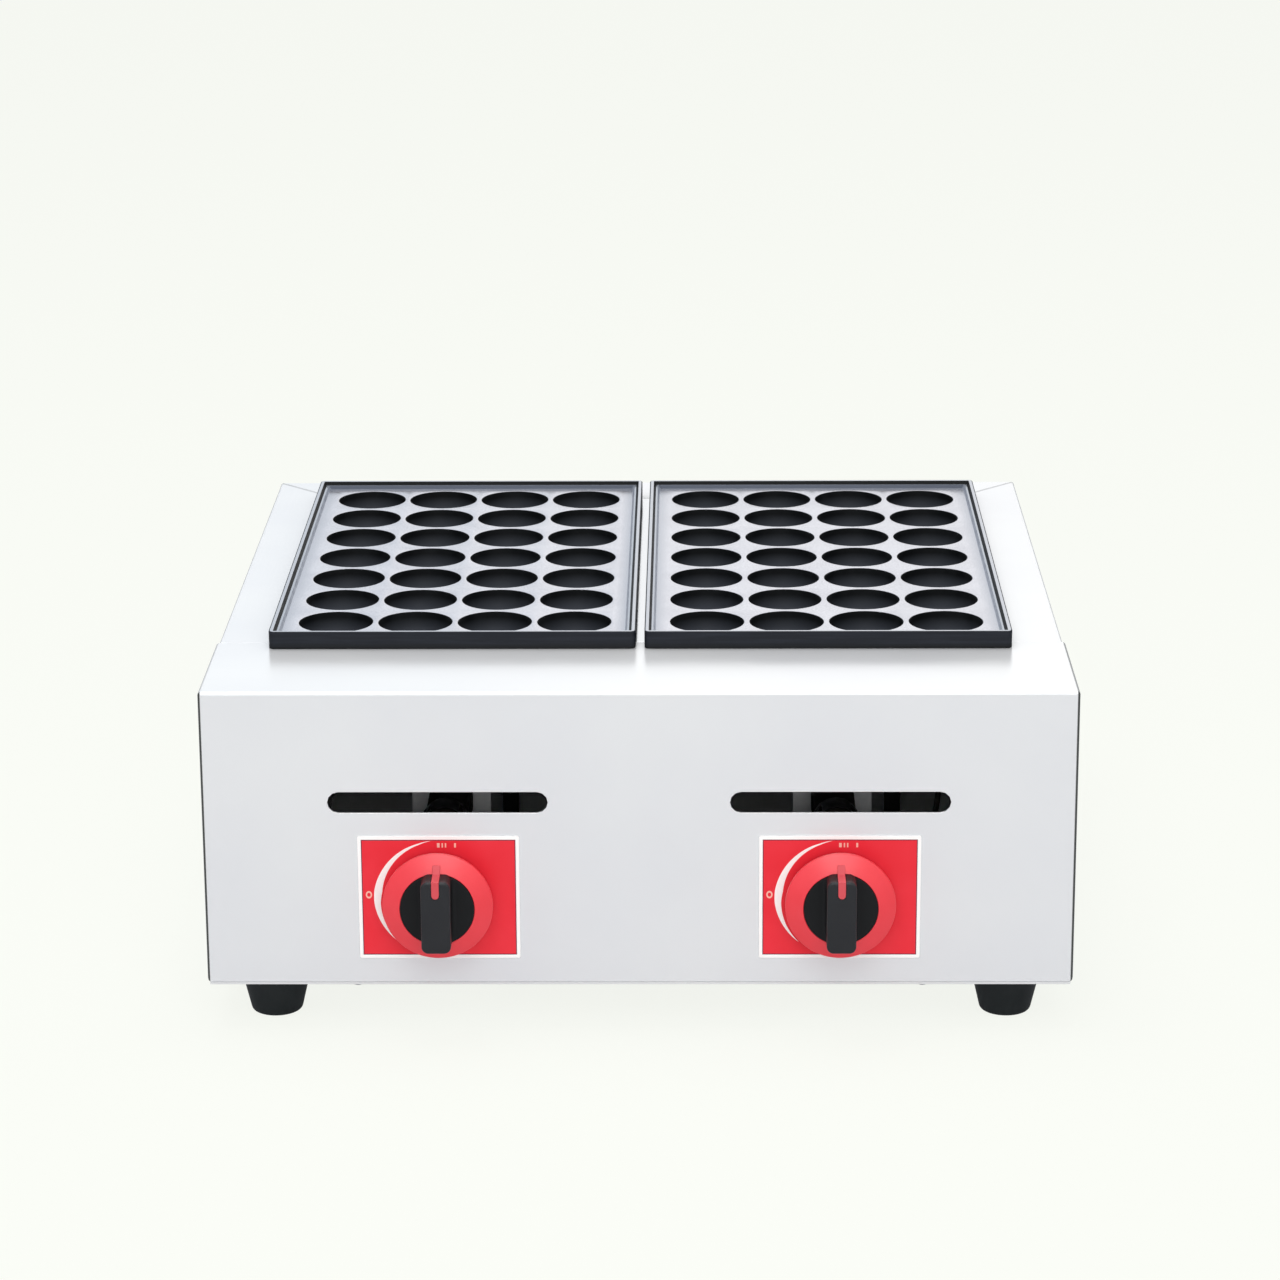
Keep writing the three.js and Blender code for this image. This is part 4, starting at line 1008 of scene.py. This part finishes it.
# %% [markdown]
# ## Knobs
# The skirt is a turned shape, so its profile is drawn as distances from the axis and out from the
# front cover, and turned in 128 steps. The recess in its middle holds the black disc.

# %% Knob skirts
ROUND = 128


def forward(profile):
    """Profile heights measured out from the front cover, as places along y."""
    return [(radius * MM, FRONT - out * MM) for radius, out in profile]


SKIRT = rounded(
    [(8, 17.7), (19.6, 17.7), (19.6, 19.4), (29, 14.3), (29, 12.5), (26.2, 6), (24.2, 6),
     (27, 12.3), (19.4, 15.7), (8, 15.7)],
    [0.2, 0, 0.35, 0.7, 0.8, 0.4, 0.4, 0.8, 0.5, 0.2], 5)
for word, side in SIDES.items():
    skirt = turned(forward(SKIRT), (side * KNOB_X, 0, KNOB_Z), "y", ROUND)
    keep(word + "_skirt", skirt, RED_PLASTIC, word + "_knob", "red_plastic",
         [word + "_knob_skirt"], crease=40.0)
print("skirt profile has", len(SKIRT), "points")

# %% [markdown]
# The grip is a disc, a bar with round edges and a hub behind, bored for the stem and grooved for
# the red pointer. The solids are joined and cut by Boolean modifiers, which are applied at once,
# so that the piece is one closed mesh.

# %% Joining and cutting solids


def as_object(shape, name="tool"):
    made = bpy.data.objects.new(name, to_mesh(shape, name))
    scene.collection.objects.link(made)
    return made


def combine(base, others, operation):
    """Joins or cuts one object by others, and returns it with a plain mesh."""
    for other in others:
        cut = base.modifiers.new("cut", "BOOLEAN")
        cut.operation = operation
        cut.object = other
        cut.solver = "EXACT"
    graph = bpy.context.evaluated_depsgraph_get()
    mesh = bpy.data.meshes.new_from_object(base.evaluated_get(graph), depsgraph=graph)
    base.modifiers.clear()
    base.data = mesh
    for other in others:
        bpy.data.objects.remove(other)
    return base


def box_object(low, high):
    """A box between two corners given in millimetres."""
    low, high = [Vector([value * MM for value in corner]) for corner in (low, high)]
    shape = bmesh.new()
    bmesh.ops.create_cube(shape, size=1.0)
    bmesh.ops.scale(shape, vec=high - low, verts=shape.verts)
    bmesh.ops.translate(shape, vec=(low + high) / 2, verts=shape.verts)
    return as_object(shape)


# %% Knob grips
DISC_RADIUS = 19.4
DISC_BACK = 17.9
DISC_PROUD = 19.8
BAR_HALF = 7.7
BAR_HALF_LENGTH = 19.75
BAR_CORNER = 3.6
BAR_PROUD = 33
BAR_EDGE = 1.3
BAR_STEPS = 5
FLARE_HALF_LENGTH = 19.0
FLARE_RISE = 2.6
FLARE_STEPS = 6
HUB_RADIUS = 7.8
HUB_BACK = 5
BORE_RADIUS = 4.2
BORE_END = 22.2
GROOVE_HALF = 2.2
GROOVE_FLOOR = 31.6
GROOVE_END = 12.55
GROOVE_TOP = 21


def rod_object(radius, back, front, centre, sides=64, edge=0.0):
    profile = [(0, back), (0, front), (radius, front), (radius, back)]
    return as_object(turned(forward(rounded(profile, [0, 0, edge, 0])), centre, "y", sides))


def bar_shape(centre):
    """A bar standing out from the cover along -y, its front edge rounded."""
    section = [(DISC_PROUD - 0.2, 0.0)]
    for step in range(BAR_STEPS + 1):
        across, up = polar(1, QUARTER * step / BAR_STEPS)
        section.append((BAR_PROUD - BAR_EDGE * (1 - up), BAR_EDGE * (1 - across)))
    rings = []
    for out, inset in section:
        sizes = [(size - inset) * MM for size in (BAR_HALF, BAR_HALF_LENGTH, BAR_CORNER)]
        rings.append([Vector((centre.x + x, FRONT - out * MM, centre.z + z))
                      for x, z in rounded_box(*sizes, 8)])
    return skin(rings, closed=False)


def flare_shape(centre):
    """The hollow fillets where a bar's long sides run into its disc."""
    section = [(DISC_PROUD - 0.5, FLARE_RISE)]
    for step in range(FLARE_STEPS + 1):
        share = step / FLARE_STEPS
        across, up = polar(1, QUARTER * share)
        section.append((DISC_PROUD + FLARE_RISE * (1 - across), FLARE_RISE * (1 - up) - 0.2 * share))
    rings = []
    for out, wider in section:
        rings.append([centre + Vector((sx * (BAR_HALF + wider) * MM, FRONT - out * MM,
                                       sz * FLARE_HALF_LENGTH * MM))
                      for sx, sz in ((1, 1), (-1, 1), (-1, -1), (1, -1))])
    return skin(rings, closed=False)


def groove(centre, low, floor):
    """A tool that cuts the pointer's groove from a height on up, down to a floor."""
    x, z, front = centre.x / MM, centre.z / MM, FRONT / MM
    return box_object((x - GROOVE_HALF, front - BAR_PROUD - 1, z + low),
                      (x + GROOVE_HALF, front - floor, z + GROOVE_TOP))


def knob_grip(side):
    centre = Vector((side * KNOB_X, 0, KNOB_Z))
    disc = rod_object(DISC_RADIUS, DISC_BACK, DISC_PROUD, centre, ROUND, 0.35)
    round_limit = rod_object(DISC_RADIUS - 0.3, 18.4, 26, centre, ROUND)
    flare = combine(as_object(flare_shape(centre)), [round_limit], "INTERSECT")
    bar = as_object(bar_shape(centre))
    hub = rod_object(HUB_RADIUS, HUB_BACK, DISC_BACK + 1, centre)
    grip = combine(disc, [bar, hub, flare], "UNION")
    bore = rod_object(BORE_RADIUS, -5, BORE_END, centre)
    face = groove(centre, GROOVE_END, GROOVE_FLOOR)
    end = groove(centre, 18.35, DISC_PROUD)
    tip = rod_object(GROOVE_HALF, BAR_PROUD + 1, GROOVE_FLOOR,
                     centre + Vector((0, 0, GROOVE_END * MM)), 48)
    return combine(grip, [bore, face, end, tip], "DIFFERENCE")


for word, side in SIDES.items():
    made = knob_grip(side)
    grip_mesh = made.data
    bpy.data.objects.remove(made)
    keep(word + "_grip", grip_mesh, BLACK_PLASTIC, word + "_knob", "black_plastic",
         [word + "_knob_grip"], crease=32.0)
    print(word, "grip has", len(grip_mesh.polygons), "faces")

# %% [markdown]
# The pointer is a red strip let into the grip: it starts on the skirt, crosses the disc, climbs the
# bar's end and runs a little way over its face, where it ends round. The CAD strip has that path,
# and the copy gets finer edges.

# %% Pointers
for word in SIDES:
    name = word + "_knob_pointer"
    strip = keep(word + "_pointer", merged_copy(name), POINTER_RED, word + "_knob",
                 "red_plastic", [name])
    soften(strip, 0.25 * MM, 3, 30.0)
print("pointers placed")

# %% [markdown]
# ## Feet
# Each foot is a tapered rubber cup, wider at the top, with a soft lower edge and a recess in its
# underside for its screw.

# %% Rubber feet
FOOT_X, FOOT_Y, _ = middle("rear_right_foot")
FOOT = rounded([(2.3, 25.8), (2.3, 13), (7, 13), (7, 0), (13.4, 0), (19.4, 25.8)],
               [0.2, 0.3, 0.8, 0.8, 3.0, 0.8], 6)
for end_word, way in ENDS.items():
    for word, side in SIDES.items():
        name = end_word + "_" + word + "_foot"
        rubber = turned([(radius * MM, height * MM) for radius, height in FOOT],
                        (side * FOOT_X, way * FOOT_Y, 0), "z", 72)
        keep(name + "_rubber", rubber, RUBBER, "casing", "foot_rubber", [name], crease=40.0)
print("feet at", FOOT_X, FOOT_Y, "with", len(FOOT), "profile points each")

# %% [markdown]
# ## Screws
# The same pan-headed screw with a cross recess is used in three places: up through the feet, up
# through the bottom panel, and in through the rear panel. One screw is modelled, and a tree sets a
# copy on each point of a small mesh and turns it by a given rotation.

# %% One screw
THREAD_PITCH = 0.7
SHANK = 2.0
THREAD_ROOT = 1.75


def screw_object(reach):
    """A pan head below z = 0, its cross recess open downwards, and a threaded shank above."""
    head = [(0, 0.1), (0, -2.2), (2.0, -2.2), (4.2, -1.0), (4.2, 0), (SHANK, 0)]
    outline = rounded(head, [0, 0, 1.2, 0.9, 0.15, 0])[:-1] + [(SHANK, 0.0)]
    turns = int(reach / THREAD_PITCH)
    for i in range(turns):
        low = reach * i / turns
        outline += [(SHANK, low + 0.1), (THREAD_ROOT, low + 0.35), (SHANK, low + 0.6)]
    outline += [(1.6, reach), (0, reach)]
    screw = as_object(turned([(r * MM, h * MM) for r, h in outline], (0, 0, 0), "z", 32), "screw")
    blades = [box_object((-wide, -deep, -3), (wide, deep, -0.9))
              for wide, deep in ((2.5, 0.45), (0.45, 2.5))]
    return combine(screw, blades, "DIFFERENCE")


screw_tree, give = new_tree("screws_on_spots", {
    "Spots": "Object", "Screw": "Object", "Turn": "Vector", "Finish": "Material",
})
set_down = geometry(screw_tree, "InstanceOnPoints", {
    "Points": geometry(screw_tree, "ObjectInfo", {"Object": give["Spots"]}),
    "Instance": geometry(screw_tree, "ObjectInfo", {"Object": give["Screw"]}),
    "Rotation": give["Turn"],
}, "Instances")
finish_tree(screw_tree, set_down, give["Finish"])
print("screw tree has", len(screw_tree.nodes), "nodes")

# %% Set the screws
CORNERS = [(s, w) for s in (-1, 1) for w in (-1, 1)]
SCREW_SETS = {
    "foot_screws": ([(s * FOOT_X / MM, w * FOOT_Y / MM, 12.8) for s, w in CORNERS],
                    20.8, (0, 0, 0.4), ENDS),
    "floor_screws": ([(s * 150, w * 212.2, 25.8) for s, w in CORNERS], 7.8, (0, 0, 0.9), ENDS),
    "rear_screws": ([(s * 220.05, 219.4, z) for s in (-1, 1) for z in (49.4, 166.3)],
                    7.4, (QUARTER, 0, 0), ("upper", "lower")),
}
for name, (places, reach, twist, ends) in SCREW_SETS.items():
    screw = screw_object(reach)
    scene.collection.objects.unlink(screw)
    spots_mesh = bpy.data.meshes.new("spots")
    spots_mesh.from_pydata([Vector(spot) * MM for spot in places], [], [])
    spots = bpy.data.objects.new("spots", spots_mesh)
    grown = grow(screw_tree, {"Spots": spots, "Screw": screw, "Turn": twist, "Finish": PLATED},
                 [spots, screw])
    stands_for = [e + "_" + w + "_" + name[:-1] for e in ends for w in SIDES]
    keep(name, grown, PLATED, "casing", "bright_steel", stands_for)
    print(name, "at", [tuple(round(value, 1) for value in spot) for spot in places])

# %% [markdown]
# ## Gas train
# Behind each knob is a brass valve with its stem, a collar that takes the knob's push and a spring
# that returns it. A jet on the valve blows gas into the mouth of a cast iron burner. Most of this
# is seen only through the slots, or with the plates lifted off, so these pieces are welded copies
# of their nodes with rounded edges and their own finishes. Stems, collars and shutters ride on
# their own bodies.

# %% Copies of the inner pieces
INNER = {
    "gas_manifold": (PIPE_STEEL, "pipe_steel", 0.3),
    "gas_supply_pipe": (PIPE_STEEL, "pipe_steel", 0.2),
    "gas_inlet_nipple": (BRASS, "brass", 0.2),
    "gas_inlet_nut": (BRASS, "brass", 0.3),
    "front_burner_support": (ZINC_SHEET, "pipe_steel", 0.2),
    "rear_burner_support": (ZINC_SHEET, "pipe_steel", 0.2),
}
PER_SIDE = {
    "gas_valve": (BRASS, "brass", 0.4),
    "gas_jet": (BRASS, "brass", 0.2),
    "burner": (BURNER_IRON, "burner_iron", 0.4),
    "electrode_bracket": (BRACKET_IRON, "burner_iron", 0.2),
    "electrode_ceramic": (CERAMIC, "ceramic_white", 0.3),
    "electrode_rod": (PLATED, "bright_steel", 0.1),
    "ignition_wire": (LEAD_SKIN, "lead_rubber", 0.0),
}
MOVING = {
    "valve_stem": (PLATED, "bright_steel", 0.2, "knob"),
    "push_collar": (BRASS, "brass", 0.3, "push"),
    "air_shutter": (PIPE_STEEL, "pipe_steel", 0.1, "shutter"),
}
for table in (PER_SIDE, MOVING):
    for word in SIDES:
        for part, (surface, finish, edge, *body) in table.items():
            INNER[word + "_" + part] = (surface, finish, edge, *(word + "_" + b for b in body))
for name, (surface, finish, edge, *body) in INNER.items():
    piece = keep(name + "_part", merged_copy(name), surface, *(body or ["casing"]), finish, [name],
                 crease=46.0)
    if edge:
        soften(piece, edge * MM, 2, 55.0)
print(len(INNER), "inner pieces")

# %% [markdown]
# The stem spring is a coil, so a tree makes it: a spiral curve, a round wire along it. It stands
# between the valve and the collar at rest.

# %% Stem springs
SPRING_TURNS = 3.0
WIRE = 0.7 * MM
SPRING_MEAN = 7.3 * MM
SPRING_FRONT = FRONT + 4.2 * MM
SPRING_BACK = FRONT + 11.3 * MM
spring_tree, give = new_tree("coil_spring", {
    "Turns": "Float", "Radius": "Float", "Height": "Float", "Wire": "Float",
    "Place": "Vector", "Finish": "Material",
})
spiral = geometry(spring_tree, "CurveSpiral", {
    "Resolution": 32, "Rotations": give["Turns"], "Start Radius": give["Radius"],
    "End Radius": give["Radius"], "Height": give["Height"],
}, "Curve")
wire = geometry(spring_tree, "CurvePrimitiveCircle", {"Resolution": 10, "Radius": give["Wire"]},
                "Curve")
coil = geometry(spring_tree, "CurveToMesh", {
    "Curve": spiral, "Profile Curve": wire, "Fill Caps": True,
}, "Mesh")
stood = geometry(spring_tree, "Transform", {
    "Geometry": coil, "Translation": give["Place"], "Rotation": (-QUARTER, 0, 0),
})
finish_tree(spring_tree, stood, give["Finish"])
for word, side in SIDES.items():
    grown = grow(spring_tree, {
        "Turns": SPRING_TURNS, "Radius": SPRING_MEAN, "Wire": WIRE,
        "Height": SPRING_BACK - SPRING_FRONT - 2 * WIRE,
        "Place": (side * KNOB_X, SPRING_FRONT + WIRE, KNOB_Z), "Finish": PLATED,
    })
    spring = keep(word + "_spring_coil", grown, PLATED, "casing", "bright_steel",
                  [word + "_stem_spring"], crease=60.0)
    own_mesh(spring)
    print(word, "spring", [round(value / MM, 1) for value in spring.dimensions])

# %% [markdown]
# ## Studio
# A plain pale floor and soft light from above and in front, as for a catalogue picture. The floor
# and the room show their colour to the camera and in reflections; what they give as light is set
# apart from that. Far out at both sides the room is darker, as flags make it, so that the bent
# edges of the steel read as dark lines.

# %% Floor
BACKDROP = srgb(249, 251, 245)
MIRRORED = srgb(180, 182, 187)
BOUNCE = srgb(214, 215, 213)
FLOOR_GLOW = 0.9
MIRRORED_GLOW = 0.5
FLOOR_REACH = 15


def bare_tree(owner):
    """The node tree of a material or world, emptied."""
    owner.use_nodes = True
    owner.node_tree.nodes.clear()
    return owner.node_tree


def ray_share(tree, kind):
    """1 for rays of one kind, such as Camera, Glossy or Transmission, 0 for the others."""
    return node(tree, "ShaderNodeLightPath", output="Is " + kind + " Ray")


def show(tree, light, seen, target):
    """One shader for light rays, and another for the camera, for mirrors and through glass."""
    share = ray_share(tree, "Camera").math("MAXIMUM", ray_share(tree, "Glossy"))
    share = share.math("MAXIMUM", ray_share(tree, "Transmission"))
    both = node(tree, "ShaderNodeMixShader", {0: share, 1: light, 2: seen})
    node(tree, "ShaderNodeOutput" + target, {"Surface": both})


floor_material = bpy.data.materials.new("floor")
tree = bare_tree(floor_material)
mirrored = ray_share(tree, "Glossy")
glow_level = mirrored.ramp(0.0, 1.0, FLOOR_GLOW, MIRRORED_GLOW)
floor_colour = mirrored.blend(BACKDROP, MIRRORED)
pale = node(tree, "ShaderNodeBsdfDiffuse", {"Color": BOUNCE})
dim = node(tree, "ShaderNodeBsdfDiffuse", {"Color": glow_level.blend(floor_colour, srgb(0, 0, 0))})
glow = node(tree, "ShaderNodeEmission", {"Color": floor_colour, "Strength": glow_level})
show(tree, pale, node(tree, "ShaderNodeAddShader", {0: dim, 1: glow}), "Material")
floor_mesh = bpy.data.meshes.new("floor")
floor_mesh.from_pydata([(FLOOR_REACH * x, FLOOR_REACH * y, 0) for x, y in FRAME_CORNERS], [],
                       [(0, 1, 2, 3)])
floor_mesh.materials.append(floor_material)
floor = bpy.data.objects.new("floor", floor_mesh)
scene.collection.objects.link(floor)
floor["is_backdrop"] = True
print("floor laid")

# %% Room
ROOM_LIGHT = 0.62
LEFT_WALL = srgb(225, 232, 238)
RIGHT_WALL = srgb(253, 254, 254)
FLAGS = srgb(60, 62, 66)
WHITE = (1.0, 1.0, 1.0, 1.0)

scene.world = bpy.data.worlds.new("room")
tree = bare_tree(scene.world)
x, y, z = node(tree, "ShaderNodeTexCoord", output="Generated").axes()
mirrored = ray_share(tree, "Glossy")
flags = x.math("ABSOLUTE").ramp(0.78, 0.93) * z.math("ABSOLUTE").ramp(0.3, 0.55, 1.0, 0.0)
walls = mirrored.blend(BACKDROP, x.ramp(-0.09, -0.01).blend(LEFT_WALL, RIGHT_WALL))
shown = node(tree, "ShaderNodeBackground", {"Color": (flags * mirrored).blend(walls, FLAGS)})
lit = node(tree, "ShaderNodeBackground", {"Color": WHITE, "Strength": ROOM_LIGHT})
show(tree, lit, shown, "World")
print("room light", ROOM_LIGHT)

# %% Lamps


def soft_box(name, place, aim, size, watts):
    data = bpy.data.lights.new(name, "AREA")
    data.shape = "RECTANGLE"
    data.size, data.size_y = size
    data.energy = watts
    lamp = bpy.data.objects.new(name, data)
    lamp.location = place
    lamp.rotation_mode = "QUATERNION"
    lamp.rotation_quaternion = (Vector(aim) - Vector(place)).to_track_quat("-Z", "Y")
    scene.collection.objects.link(lamp)
    return lamp


soft_box("overhead", (-0.2, 0.1, 2.4), (0, 0, 0.1), (1.8, 1.4), 22.5)
soft_box("front_key", (0.0, -1.9, 1.75), (0, -0.1, 0.1), (1.8, 1.1), 14)
low_front = soft_box("low_front", (0.3, -2.7, 0.9), (0, -0.2, 0.12), (1.6, 0.4), 13)
low_front.visible_glossy = False

# %% Size
seen_box = [list(corner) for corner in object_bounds()]
for name, corners in (("CAD", cad_box), ("visual", seen_box)):
    print(name, [[round(value / MM, 1) for value in corner] for corner in corners])
